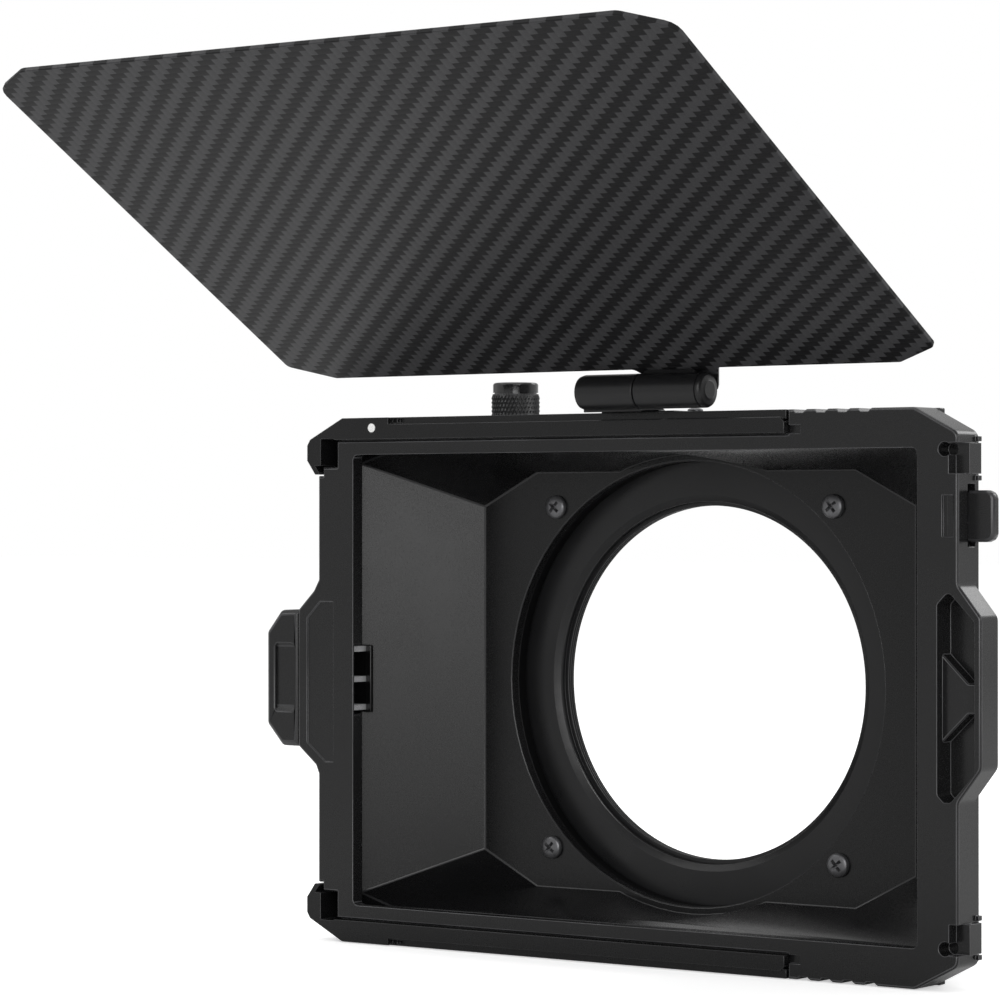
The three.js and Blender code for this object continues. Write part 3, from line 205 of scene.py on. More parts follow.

# %% [markdown]
# ## Moulded nylon
#
# The hood, rails and tray are glass-filled nylon. The mould is spark-eroded, which leaves a fine satin grain
# of about a quarter of a millimetre, and handling polishes the edges a little, which lowers their roughness.
# Noise gives the grain. The edges also get a paler colour, a painted highlight, which broad patches of noise
# make stronger in places. Both are read from a number that each face of the mesh carries, which the rounding
# further down sets to 1 on the radii, so no picture has to be wrapped round the piece.

# %% Moulded finish
HANDLED_PATCH = 18 * MM
GRAIN_SWING, PATCH_SWING, POLISHED_BY = 0.05, 0.03, 0.1


def moulded_finish(name, colour, edge_highlight_colour, roughness, grain, depth, gloss=0.34):
    """Satin plastic with a spark-eroded grain of the given size and depth, polished edges and a painted
    highlight on them.
    """
    finish, shader = new_finish(name)
    place = place_on(finish)
    fine = speckle(finish, place, grain)
    broad = speckle(finish, place, HANDLED_PATCH)
    polish_and_highlight = finish.node_tree.nodes.new("ShaderNodeAttribute")
    polish_and_highlight.attribute_name = "polish_and_highlight"
    edge = calc(finish, "MULTIPLY", polish_and_highlight.outputs["Fac"],
                span(finish, broad, NOISE_LOW, NOISE_HIGH, 0.4, 1.0))
    # A paler colour on the marked radii is a painted highlight along the edges.
    plug_in(finish, blend_colours(finish, edge, colour, edge_highlight_colour), shader.inputs["Base Color"])
    rough = calc(finish, "ADD",
                 span(finish, fine, NOISE_LOW, NOISE_HIGH, roughness - GRAIN_SWING, roughness + GRAIN_SWING),
                 span(finish, broad, NOISE_LOW, NOISE_HIGH, -PATCH_SWING, PATCH_SWING))
    polished = calc(finish, "SUBTRACT", rough, calc(finish, "MULTIPLY", edge, POLISHED_BY))
    plug_in(finish, polished, shader.inputs["Roughness"])
    shader.inputs["Specular IOR Level"].default_value = gloss
    raise_surface(finish, shader, fine, depth)
    return finish


print("patches of handling:", round(HANDLED_PATCH / MM), "mm")

# %% [markdown]
# ## The plastics on this box
#
# Hood, rails and tray come from one black nylon, whose gloss differs a little with the mould. The pieces
# that fingers touch are smoother, the knob's cap is almost glossy, and the dot that marks the top is
# white. A black plastic reflects a few hundredths of the light, so its colours are close to zero.

# %% Moulded finishes
# The second colour of each finish is the painted highlight on its rounded edges.
finishes = {
    "moulded": moulded_finish(
        "moulded", (0.005, 0.005, 0.0053), (0.03, 0.03, 0.031), 0.26, 0.28 * MM, 0.004 * MM, gloss=0.28),
    "moulded_tray": moulded_finish(
        "moulded_tray", (0.006, 0.006, 0.0063), (0.08, 0.08, 0.083), 0.25, 0.22 * MM, 0.004 * MM),
    "moulded_grip": moulded_finish(
        "moulded_grip", (0.006, 0.006, 0.0063), (0.045, 0.045, 0.047), 0.27, 0.2 * MM, 0.004 * MM),
    "gloss_cap": moulded_finish(
        "gloss_cap", (0.008, 0.008, 0.009), (0.02, 0.02, 0.02), 0.14, 0.5 * MM, 0.001 * MM, gloss=0.6),
    "shoe_nylon": moulded_finish(
        "shoe_nylon", (0.03, 0.03, 0.03), (0.06, 0.06, 0.06), 0.5, 0.3 * MM, 0.008 * MM),
    # The latch tip's blacker finish is painted shade for the dark end of the tray it lies in.
    "tip_painted_shade": moulded_finish(
        "tip_painted_shade", (0.003, 0.003, 0.003), (0.02, 0.02, 0.02), 0.2, 0.3 * MM, 0.002 * MM, gloss=0.25),
    "marking": moulded_finish(
        "marking", (0.8, 0.8, 0.79), (0.85, 0.85, 0.84), 0.5, 0.2 * MM, 0.004 * MM),
}
print("moulded finishes:", sorted(finishes))

# %% [markdown]
# ## Anodised and blackened metal
#
# The lens ring, collar, knob and hinge are machined aluminium, dyed black in the anodising bath. The tool
# leaves a fine grain, which the dye keeps visible as a slight change of gloss. The screws are blackened
# steel, and the springs and bars are bare spring steel. One function makes them all: fine noise stands
# for the tool's grain, and broad noise for the bath, which never dyes quite evenly.

# %% Metal finish
DYE_PATCH = 9 * MM
METAL_SWING, SCRATCH_PALER = 0.04, 1.5


def turned_finish(name, colour, roughness, metallic, grain, depth, gloss=0.5):
    """Metal with a fine tool grain, whose gloss and shade wander a little."""
    finish, shader = new_finish(name)
    shader.inputs["Specular IOR Level"].default_value = gloss
    shader.inputs["Metallic"].default_value = metallic
    place = place_on(finish)
    broad = speckle(finish, place, DYE_PATCH)
    fine = speckle(finish, place, grain, 3.0)
    rough = calc(finish, "ADD",
                 span(finish, broad, NOISE_LOW, NOISE_HIGH, roughness - METAL_SWING, roughness + METAL_SWING),
                 span(finish, fine, NOISE_LOW, NOISE_HIGH, -METAL_SWING, METAL_SWING))
    plug_in(finish, rough, shader.inputs["Roughness"])
    scratched = [channel * SCRATCH_PALER for channel in colour]
    plug_in(finish, blend_colours(finish, span(finish, fine, 0.35, 0.75), colour, scratched),
            shader.inputs["Base Color"])
    raise_surface(finish, shader, fine, depth)
    return finish


print("patches of dye:", round(DYE_PATCH / MM), "mm")

# %% [markdown]
# ## The metals on this box
#
# The dye fills the anodised layer, so what is seen is nearly a black plastic with a metal's grain: its
# metallic share stays at zero, and only the knurl has some. The knurl's colour is also paler than the rest, a
# painted sheen over the whole knurl. The collar is the dullest, because it sits in the light path. Steel keeps
# its metallic look under the black oxide.

# %% Metal finishes
finishes |= {
    "anodised": turned_finish(
        "anodised", (0.006, 0.006, 0.0064), 0.32, 0.0, 0.09 * MM, 0.002 * MM, gloss=0.32),
    # The knurl's paler colour is painted sheen.
    "anodised_knurl_sheen": turned_finish(
        "anodised_knurl_sheen", (0.03, 0.03, 0.031), 0.28, 0.2, 0.09 * MM, 0.002 * MM, gloss=0.6),
    "anodised_matt": turned_finish(
        "anodised_matt", (0.002, 0.002, 0.0022), 0.45, 0.0, 0.12 * MM, 0.004 * MM, gloss=0.12),
    "black_steel": turned_finish("black_steel", (0.1, 0.1, 0.104), 0.34, 0.7, 0.15 * MM, 0.005 * MM),
    "spring_steel": turned_finish("spring_steel", (0.55, 0.55, 0.56), 0.32, 0.6, 0.12 * MM, 0.004 * MM),
}
print("finishes so far:", len(finishes))

# %% [markdown]
# ## Carbon fibre twill
#
# The flag is a laminate whose outer cloth is a two-over-two twill: each tow goes over two and under two, and
# the next tow does so one step later, which gives the diagonal ribs. The tows lie square to the flag's edges,
# 1.77 mm apart one way and 1.51 mm the other. A tow reflects along its own fibres, so the two directions look
# light and dark; here that sheen is painted into the colour, paler on the tows that lie one way. Each crossing
# is worked out from its row and column: the count of both, modulo four, says which tow is on top, and so its
# painted sheen, its fibres and its rounding.

# %% Carbon finish
hinge_axis = Vector((0.0, -48.6, 60.45)) * MM
flag_tilt = math.radians(30.18)
tow_x, tow_y = 1.773 * MM, 1.506 * MM
dark_tow, sheen_tow = (0.007, 0.007, 0.0075), (0.042, 0.042, 0.044)
weft_rough, warp_rough, tow_high, strand_share = 0.42, 0.32, 0.03 * MM, 0.3


def carbon_finish(name):
    """Two-over-two twill whose tows lie square to the tilted flag."""
    finish, shader = new_finish(name)
    on_flag = finish.node_tree.nodes.new("ShaderNodeMapping")
    on_flag.vector_type = "TEXTURE"
    on_flag.inputs["Location"].default_value = hinge_axis
    on_flag.inputs["Rotation"].default_value = (-flag_tilt, 0.0, 0.0)
    plug_in(finish, place_on(finish), on_flag.inputs["Vector"])
    split = finish.node_tree.nodes.new("ShaderNodeSeparateXYZ")
    plug_in(finish, on_flag.outputs["Vector"], split.inputs[0])
    column = calc(finish, "DIVIDE", split.outputs["X"], tow_x)
    row = calc(finish, "DIVIDE", split.outputs["Y"], tow_y)
    order = calc(finish, "FLOORED_MODULO",
                 calc(finish, "ADD", calc(finish, "FLOOR", column), calc(finish, "FLOOR", row)), 4.0)
    warp_on_top = calc(finish, "LESS_THAN", order, 1.5)
    across_warp = calc(finish, "SINE", calc(finish, "MULTIPLY", calc(finish, "FRACT", column), math.pi))
    across_weft = calc(finish, "SINE", calc(finish, "MULTIPLY", calc(finish, "FRACT", row), math.pi))
    rounding = finish.node_tree.nodes.new("ShaderNodeMix")
    plug_in(finish, warp_on_top, rounding.inputs["Factor"])
    plug_in(finish, across_weft, rounding.inputs[2])
    plug_in(finish, across_warp, rounding.inputs[3])
    strands = speckle(finish, on_flag.outputs["Vector"], 0.3 * MM)
    # The paler colour on the tows on top is a painted sheen for their reflection along the fibres.
    tow_sheen = calc(finish, "MULTIPLY", warp_on_top, span(finish, strands, NOISE_LOW, NOISE_HIGH, 0.75, 1.0))
    plug_in(finish, blend_colours(finish, tow_sheen, dark_tow, sheen_tow), shader.inputs["Base Color"])
    plug_in(finish, span(finish, warp_on_top, 0.0, 1.0, weft_rough, warp_rough), shader.inputs["Roughness"])
    shader.inputs["Specular IOR Level"].default_value = 0.14
    height = calc(finish, "ADD", rounding.outputs[0], calc(finish, "MULTIPLY", strands, strand_share))
    raise_surface(finish, shader, height, tow_high, strength=0.6)
    return finish


finishes["carbon"] = carbon_finish("carbon")
print("carbon cloth repeats every", round(4 * tow_x / MM, 2), "by", round(4 * tow_y / MM, 2), "mm")

# %% [markdown]
# ## Putting a piece on its body
#
# Every piece rides on the body that its packed twin rides on, stands for that twin and takes its
# finish, so one function does the three for all of them.

# %% Dress helper
body_of = {node: body for body, nodes in frame["record"]["behaviour"]["bodies"].items() for node in nodes}
slot_of = {part["node"]: part["material_slot"] for part in frame["record"]["subparts"]}


def dress(piece, node, finish=None):
    """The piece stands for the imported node, rides on its body and takes its finish or a named one."""
    piece.data.materials.clear()
    piece.data.materials.append(finishes[finish or slot_of[node]])
    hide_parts(node)
    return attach(piece, body_of[node])


def show(name, mesh):
    """A new object for a mesh, in the row frame."""
    piece = bpy.data.objects.new(name, mesh)
    bpy.context.scene.collection.objects.link(piece)
    return piece


print("bodies:", sorted(set(body_of.values())))

# %% [markdown]
# ## Moulded edges
#
# No moulding leaves the tool with a knife edge: each corner has a radius of a few tenths of a
# millimetre, and that radius is what catches the light and draws the piece's outline. A bevel on every
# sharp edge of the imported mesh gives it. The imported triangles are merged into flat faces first, because a
# bevel that meets a sliver leaves a crease, and the faces of most pieces are cut again into better
# triangles. The tray and rails have many small sockets, so there the faces stay whole and the radius
# stays smaller: a triangle thinner than the radius would fold over. Flat faces are then shaded flat,
# and only the radius and the curved faces are shaded smooth, so no face looks pillowed.

# %% Soft edges
WELD = 0.0005 * MM
SAME_PLANE, BARELY, SHARP, CREASE = (math.radians(angle) for angle in (0.2, 1.0, 28.0, 50.0))
ROUNDED = 1


def soften(bm, radius, recut=True, segments=2):
    """Tidies the mesh's flat faces, rounds every sharp edge and marks the radii for polish and a painted
    highlight.
    """
    polish_and_highlight = bm.faces.layers.float.new("polish_and_highlight")
    bmesh.ops.remove_doubles(bm, verts=bm.verts, dist=WELD)
    bmesh.ops.dissolve_limit(bm, angle_limit=SAME_PLANE, verts=bm.verts, edges=bm.edges)
    if recut:
        bmesh.ops.triangulate(bm, faces=bm.faces[:], quad_method="BEAUTY", ngon_method="BEAUTY")
    edges = [edge for edge in bm.edges if len(edge.link_faces) == 2 and edge.calc_face_angle(0.0) > SHARP]
    bmesh.ops.bevel(bm, geom=edges, offset=radius, offset_type="OFFSET", segments=segments, profile=0.5,
                    affect="EDGES", clamp_overlap=False, loop_slide=False, miter_outer="ARC", material=ROUNDED)
    for edge in bm.edges:
        kinds = {side.material_index for side in edge.link_faces}
        edge.smooth = len(kinds) == 1 and edge.calc_face_angle(0.0) < CREASE
    for face in bm.faces:
        bends = [edge for edge in face.edges if edge.smooth and BARELY < edge.calc_face_angle(0.0) < SHARP]
        face.smooth = face.material_index == ROUNDED or bool(bends)
    # The mark on the radii carries their polish and their painted highlight.
    for face in bm.faces:
        face[polish_and_highlight] = float(face.material_index == ROUNDED)
        face.material_index = 0
    bmesh.ops.triangulate(bm, faces=[face for face in bm.faces if len(face.verts) > 4])


print("rounds every edge over", round(math.degrees(SHARP)), "degrees")

# %% [markdown]
# ## Copies with soft edges
#
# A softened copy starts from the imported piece, so its place and size need no measuring. The pieces that
# come off the lathe are shaded another way: a modifier weighs the normals by the faces' areas, which
# keeps large flat faces flat and round ones round.

# %% Softened copies
def shade(piece, angle=32.0):
    """Smooth shading that keeps flat faces flat."""
    piece.data.shade_smooth()
    piece.data.set_sharp_from_angle(angle=math.radians(angle))
    weigh = piece.modifiers.new("flat faces", "WEIGHTED_NORMAL")
    weigh.keep_sharp = True
    weigh.weight = 90
    return piece


whole_faces = {"tray_frame", "rail_top", "rail_bottom"}


def softened_mesh(name, node, radius):
    """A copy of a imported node's mesh with its edges rounded by a radius in millimetres."""
    mesh = frame["nodes"][node].data.copy()
    mesh.name = name
    bm = bmesh.new()
    bm.from_mesh(mesh)
    soften(bm, radius * MM, recut=node not in whole_faces)
    bm.to_mesh(mesh)
    bm.free()
    return mesh


def softened_copy(name, node, radius, finish=None):
    """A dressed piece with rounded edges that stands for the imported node."""
    return dress(show(name, softened_mesh(name, node, radius)), node, finish)


print("faces stay whole on:", sorted(whole_faces))

# %% [markdown]
# ## Hood, rails, tray and what fingers touch
#
# These are the moulded pieces. The button is rounded most, because a thumb presses it, and the latch grip
# comes next. The hood's edges have a radius of a quarter of a millimetre, and those of the tray and the rails
# about half of that. The tip of the latch lies in the tray's dark end, and its finish is blacker than the
# grip's: painted shade for that dark end.

# %% Moulded pieces
moulded_pieces = {
    "hood_shell": 0.25, "rail_top": 0.12, "rail_bottom": 0.12, "tray_frame": 0.12, "latch_grip": 0.3,
    "latch_tip": 0.2, "release_button": 0.6, "lock_shoe": 0.2,
}
for node, radius in moulded_pieces.items():
    softened_copy("soft_" + node, node, radius, "tip_painted_shade" if node == "latch_tip" else None)
print("moulded pieces:", len(moulded_pieces))

# %% [markdown]
# ## Collar, hinge and flag
#
# The collar, the bracket, the leaf and the clamp plate are milled or bent aluminium, and the snap ring is
# stamped. A machinist breaks their edges with a fine chamfer, and the sawn edge of the carbon sheet is
# sanded round. At this size a small radius looks the same as a chamfer, so the same copy serves.

# %% Machined and pressed pieces
dull = {"clamp_collar", "snap_ring"}
machined_pieces = {
    "clamp_collar": 0.25, "hinge_bracket": 0.18, "flag_leaf": 0.1, "flag_clamp": 0.2, "snap_ring": 0.08,
    "flag_panel": 0.15,
}
for node, radius in machined_pieces.items():
    softened_copy("soft_" + node, node, radius, "anodised_matt" if node in dull else None)
print("machined pieces:", len(machined_pieces))

# %% [markdown]
# ## Turned pieces
#
# The lens ring, the hinge's barrels and the screws come off a lathe, and a lathe is also how they are made
# here: half of the section is drawn as points of radius and height, and each point becomes a ring. A
# point on the axis becomes one corner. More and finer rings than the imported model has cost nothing.

# %% Lathe helper
AXES = {
    "X": Matrix(((0, 0, 1), (1, 0, 0), (0, 1, 0))).to_4x4(),
    "Y": Matrix(((1, 0, 0), (0, 0, 1), (0, -1, 0))).to_4x4(),
}


def turned(section, steps, closed=False):
    """A solid of revolution round Z from points of radius and height, as a bmesh."""
    bm = bmesh.new()
    turns = [2 * math.pi * step / steps for step in range(steps)]
    rings = []
    for radius, height in section:
        if radius == 0.0:
            rings.append([bm.verts.new((0.0, 0.0, height))] * steps)
        else:
            rings.append([bm.verts.new((radius * math.cos(turn), radius * math.sin(turn), height))
                          for turn in turns])
    pairs = list(zip(rings, rings[1:])) + ([(rings[-1], rings[0])] if closed else [])
    for low, high in pairs:
        for step in range(steps):
            after = (step + 1) % steps
            corners = dict.fromkeys([low[step], low[after], high[after], high[step]])
            if len(corners) > 2:
                bm.faces.new(list(corners))
    bmesh.ops.recalc_face_normals(bm, faces=bm.faces)
    return bm


def finish_mesh(bm, name, place=None):
    """Ends a bmesh as a mesh, moved to its place."""
    if place is not None:
        bmesh.ops.transform(bm, matrix=place, verts=bm.verts)
    mesh = bpy.data.meshes.new(name)
    bm.to_mesh(mesh)
    bm.free()
    return mesh


print("the lathe turns round Z, or is laid along", sorted(AXES))

# %% [markdown]
# ## Lens ring
#
# This ring joins the box to the lens. It has a rim in front, a narrower spigot behind, and a bore with a
# chamfered mouth and a few fine turns of thread, which break up stray light. The outside comes from the packed
# ring's box, so it can't drift, and the steps of the bore are listed. The thread is drawn as plain rings,
# because at its size nobody sees that it should be a helix.

# %% Lens ring
low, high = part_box("adapter_ring")
outer = (high.x - low.x) / 2
front, spigot_root, seat = low.y, high.y - 3.0 * MM, high.y
face_inner, mouth, bore, counterbore, spigot = (size * MM for size in (39.8, 38.4, 37.5, 42.3, 44.5))
chamfer_end, mouth_end, bore_end = (front + deep * MM for deep in (0.8, 2.3, 4.5))
threads, thread_deep, crest_end, root_at = 3, 0.22 * MM, 0.3, 0.65
pitch = (bore_end - mouth_end) / threads
thread = []
for turn in range(threads):
    start = mouth_end + turn * pitch
    thread += [(bore, start), (bore, start + crest_end * pitch), (bore + thread_deep, start + root_at * pitch)]
section = [(face_inner, front), (outer, front), (outer, spigot_root), (spigot, spigot_root), (spigot, seat),
           (counterbore, seat), (counterbore, bore_end), (bore, bore_end)]
section += thread[::-1] + [(mouth, mouth_end), (mouth, chamfer_end)]
ring = turned(section, steps=180, closed=True)
soften(ring, 0.06 * MM, segments=1)
ring_mesh = finish_mesh(ring, "lens_ring", AXES["Y"])
dress(shade(show("lens_ring", ring_mesh)), "adapter_ring")
print("lens ring", round(2 * outer / MM, 1), "mm across, bore", round(2 * bore / MM, 1), "mm")

# %% [markdown]
# ## Hinge barrels
#
# A friction hinge has two barrels on one pin: the fixed one ends in a rounded face, and the moving one
# in a grooved rim and a domed cap. Both are sleeves here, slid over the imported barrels, so that their
# roundness and their rims come from a fine lathe section. Each section is a list of radius and place
# along the pin, and goes once round the sleeve's wall.

# %% Barrels
def sleeve(name, node, section):
    """A turned sleeve on the hinge's axis, from points of radius and place along X in millimetres."""
    bm = turned([(radius * MM, along * MM) for radius, along in section], steps=96, closed=True)
    mesh = finish_mesh(bm, name, Matrix.Translation(hinge_axis) @ AXES["X"])
    return dress(shade(show(name, mesh), angle=20.0), node)


barrel = 3.6
sleeve("barrel_fixed", "hinge_bracket", [
    (0.0, -5.55), (2.6, -5.55), (3.1, -5.4), (3.45, -5.0), (barrel, -4.4), (barrel, 8.5), (3.4, 8.68),
    (3.0, 8.68), (3.0, -5.1), (0.0, -5.1)])
sleeve("barrel_moving", "flag_leaf", [
    (3.0, 9.02), (3.4, 9.02), (barrel, 9.2), (barrel, 23.8), (3.38, 23.9), (3.38, 24.1), (barrel, 24.2),
    (3.58, 24.6), (3.4, 24.95), (3.0, 25.2), (2.5, 25.3), (1.9, 25.4), (1.8, 25.45), (0.0, 25.45),
    (0.0, 24.8), (2.2, 24.8), (3.0, 23.4)])
print("hinge barrels: 2, of", 2 * barrel, "mm across")

# %% [markdown]
# ## Finger scoop
#
# The thumb piece has a shallow pocket for the fingertip. Its floor lies nearly a millimetre down, and
# its lower end slopes up to the face, so that the finger slides in from below. One prism whose section
# is drawn along the pocket gives both.

# %% Scoop
low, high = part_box("latch_grip")
pocket_left, pocket_right = -92.3 * MM, -86.6 * MM
pocket_face, pocket_deep, pocket_floor = low.y, 2.3 * MM, 0.75 * MM
profile = [(-7.4, 0.04 * MM), (-6.1, pocket_floor), (6.9, pocket_floor), (7.6, 0.35 * MM), (7.6, pocket_deep),
           (-7.4, pocket_deep)]
scoop = bmesh.new()
ends = [[scoop.verts.new((x, pocket_face + deep, z * MM)) for z, deep in profile]
        for x in (pocket_left, pocket_right)]
for step in range(len(profile)):
    after = (step + 1) % len(profile)
    scoop.faces.new((ends[0][step], ends[0][after], ends[1][after], ends[1][step]))
scoop.faces.new(ends[0])
scoop.faces.new(ends[1][::-1])
bmesh.ops.recalc_face_normals(scoop, faces=scoop.faces)
soften(scoop, 0.2 * MM)
dress(shade(show("finger_scoop", finish_mesh(scoop, "finger_scoop"))), "latch_grip")
print("scoop", round((pocket_right - pocket_left) / MM, 1), "mm wide")

# %% [markdown]
# ## Knurled knob
#
# A diamond knurl is pressed into the blank by two wheels whose teeth lean opposite ways. Each point of
# the surface is as deep as the nearer of the two sets of grooves makes it. On a grid whose steps fall
# on the grooves and on the tips between them, four steps a diamond give crisp pyramids.

# %% Knurl
low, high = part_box("knob_body")
knob_at = Vector(((low.x + high.x) / 2, (low.y + high.y) / 2, 0.0))
knurl_radius = (high.x - low.x) / 2 + 0.15 * MM
neck_radius, neck_high = 3.6 * MM, 1.7 * MM
diamonds_round, diamonds_high, knurl_deep, grid = 38, 6, 0.3 * MM, 4


def groove(place):
    """1 in a groove and 0 on a tip."""
    return abs(2 * (place % 1.0) - 1)


def knurled(radius, from_z, to_z):
    """Rings of points from the bottom of the knurl to its top."""
    bm = bmesh.new()
    steps, rows = diamonds_round * grid, diamonds_high * grid
    turns = [2 * math.pi * step / steps for step in range(steps)]
    rings = []
    for row in range(rows + 1):
        up = row / grid
        height = from_z + (to_z - from_z) * row / rows
        at_end = row in (0, rows)
        ring = []
        for step, turn in enumerate(turns):
            along = step / grid
            deep = 1.0 if at_end else max(groove(along + up), groove(along - up))
            reach = radius - knurl_deep * deep
            ring.append(bm.verts.new((reach * math.cos(turn), reach * math.sin(turn), height)))
        rings.append(ring)
    for height in (from_z, from_z - neck_high):
        rings.insert(0, [bm.verts.new((neck_radius * math.cos(turn), neck_radius * math.sin(turn), height))
                         for turn in turns])
    for lower, upper in zip(rings, rings[1:]):
        for step in range(steps):
            after = (step + 1) % steps
            bm.faces.new((lower[step], lower[after], upper[after], upper[step]))
    bm.faces.new(rings[0][::-1])
    bm.faces.new(rings[-1])
    bmesh.ops.recalc_face_normals(bm, faces=bm.faces)
    return bm


knob = knurled(knurl_radius, low.z + neck_high, high.z)
knob_mesh = finish_mesh(knob, "knurled_knob", Matrix.Translation(knob_at))
dress(show("knurled_knob", knob_mesh), "knob_body", "anodised_knurl_sheen")
print("knurl:", diamonds_round, "diamonds round,", diamonds_high, "high")

# %% [markdown]
# ## Knob cap
#
# A smooth cap closes the knob over its screw. It is a lathe section again: a small groove where it meets
# the knurl, a quarter round at the edge that draws a bright ring, and a shallow dish on top.

# %% Knob cap
low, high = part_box("knob_cap")
cap_radius, cap_high = (high.x - low.x) / 2 + 0.3 * MM, high.z - low.z
groove_high, round_over, round_steps = 0.3 * MM, 0.6 * MM, 6
dish_rim, dish_floor, dish_deep = cap_radius * 0.55, cap_radius * 0.5, 0.12 * MM
section = [(0.0, low.z), (cap_radius - groove_high, low.z), (cap_radius - groove_high, low.z + groove_high),
           (cap_radius, low.z + groove_high)]
for step in range(round_steps + 1):
    turn = math.pi / 2 * step / round_steps
    section.append((cap_radius - round_over * (1 - math.cos(turn)),
                    high.z - round_over * (1 - math.sin(turn))))
section += [(dish_rim, high.z), (dish_floor, high.z - dish_deep), (0.0, high.z - dish_deep)]
cap = finish_mesh(turned(section, steps=96), "knob_top", Matrix.Translation(knob_at))
dress(shade(show("knob_top", cap)), "knob_cap")
print("cap", round(2 * cap_radius / MM, 1), "by", round(cap_high / MM, 1), "mm")

# %% [markdown]
# ## Cross-head screws
#
# A pan head is a low dome with a cross recess whose four wings slope down, so that the driver wedges
# itself in. The dome is turned, and the recess is cut from it with one tapered cross, which is how the
# punch makes it. Sixteen screws and one rivet share six shapes, so each shape is made once.

# %% Cross recess
WIDER, NARROWER = 1.15, 0.45


def cut(mesh, tool):
    """The mesh with the tool's space taken out."""
    piece, cutter = show("blank", mesh), show("punch", tool)
    step = piece.modifiers.new("cut", "BOOLEAN")
    step.operation, step.solver, step.object = "DIFFERENCE", "EXACT", cutter
    bpy.context.view_layer.update()
    ready = piece.evaluated_get(bpy.context.evaluated_depsgraph_get())
    done = bpy.data.meshes.new_from_object(ready)
    for gone in (piece, cutter):
        bpy.data.objects.remove(gone)
    return done


def cross_punch(half_long, half_wide, top, bottom):
    """A cross that tapers downwards."""
    bm = bmesh.new()
    outline = []
    for quarter in range(4):
        turn = Matrix.Rotation(math.pi / 2 * quarter, 3, "Z")
        for x, y in ((half_long, -half_wide), (half_long, half_wide), (half_wide, half_wide)):
            outline.append(turn @ Vector((x, y, 0.0)))
    levels = []
    for height, share in ((top, WIDER), (bottom, NARROWER)):
        levels.append([bm.verts.new((point.x * share, point.y * share, height)) for point in outline])
    for step in range(len(outline)):
        after = (step + 1) % len(outline)
        bm.faces.new((levels[0][step], levels[0][after], levels[1][after], levels[1][step]))
    bm.faces.new(levels[0])
    bm.faces.new(levels[1][::-1])
    bmesh.ops.triangulate(bm, faces=bm.faces[:])
    bmesh.ops.recalc_face_normals(bm, faces=bm.faces)
    return finish_mesh(bm, "punch")


print("helpers: cut, cross_punch")

# %% [markdown]
# ## Heads and shanks
#
# The head is a short rim under a dome, and the shank ends in a small chamfer. All its measures follow
# from four sizes, so that a screw of another size stays a believable screw.

# %% Screw helper
DOME_STEPS, DOME_FULLNESS, RIM_SHARE, EDGE_SHARE, TIP_SHARE = 6, 0.7, 0.45, 0.04, 0.4
WING_LONG, WING_WIDE, WING_TOP, WING_FLOOR = 0.58, 0.14, 1.1, 0.35


def pan_head(head_radius, head_high, shank_radius, length, recess=True):
    """A screw along Z with its seat at zero."""
    rim = head_high * RIM_SHARE
    dome = head_high - rim
    tip, edge = shank_radius * TIP_SHARE, head_radius * EDGE_SHARE
    section = [(0.0, -length), (shank_radius - tip, -length), (shank_radius, -length + tip),
               (shank_radius, 0.0), (head_radius - edge, 0.0), (head_radius, edge)]
    for step in range(DOME_STEPS + 1):
        turn = math.pi / 2 * step / DOME_STEPS
        section.append((head_radius * math.cos(turn) ** DOME_FULLNESS if step < DOME_STEPS else 0.0,
                        rim + dome * math.sin(turn)))
    mesh = finish_mesh(turned(section, steps=40), "screw")
    if not recess:
        return mesh
    punch = cross_punch(head_radius * WING_LONG, head_radius * WING_WIDE,
                        head_high * WING_TOP, head_high * WING_FLOOR)
    return cut(mesh, punch)


def set_screw(name, node, mesh, seat, direction, turned_by=0.0):
    """A copy of a screw at its seat, whose head points the given way."""
    copy = mesh.copy()
    copy.name = name
    facing = Vector(direction).to_track_quat("Z", "Y").to_matrix().to_4x4()
    copy.transform(Matrix.Translation(seat) @ facing @ Matrix.Rotation(math.radians(turned_by), 4, "Z"))
    return dress(shade(show(name, copy), angle=30.0), node)


print("a recess is", WING_LONG, "of its head across")

# %% [markdown]
# ## Screws in the hood's floor
#
# Four screws hold the hood on the collar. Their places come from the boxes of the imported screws. No
# driver stops twice at the same angle, so each recess is turned by its own amount, as in the picture.

# %% Collar screws
def centre_of(node):
    """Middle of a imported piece, and its two corners."""
    corner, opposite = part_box(node)
    return (corner + opposite) / 2, corner, opposite


collar_head = 1.4 * MM
collar_screw = pan_head(2.5 * MM, collar_head, 1.5 * MM, 10.0 * MM)
for index, turned_by in enumerate((47.0, 39.0, 51.0, 42.0), 1):
    node = f"collar_screw_{index}"
    middle, corner, opposite = centre_of(node)
    seat = Vector((middle.x, corner.y + collar_head, middle.z))
    set_screw("cross_" + node, node, collar_screw, seat, (0.0, -1.0, 0.0), turned_by)
print("collar screws: 4")

# %% [markdown]
# ## Screws from behind
#
# The rails, the latch cover and the sprung catch are fastened from behind, where the picture doesn't
# look. The catch has a rivet, which is the same turned head without a recess.

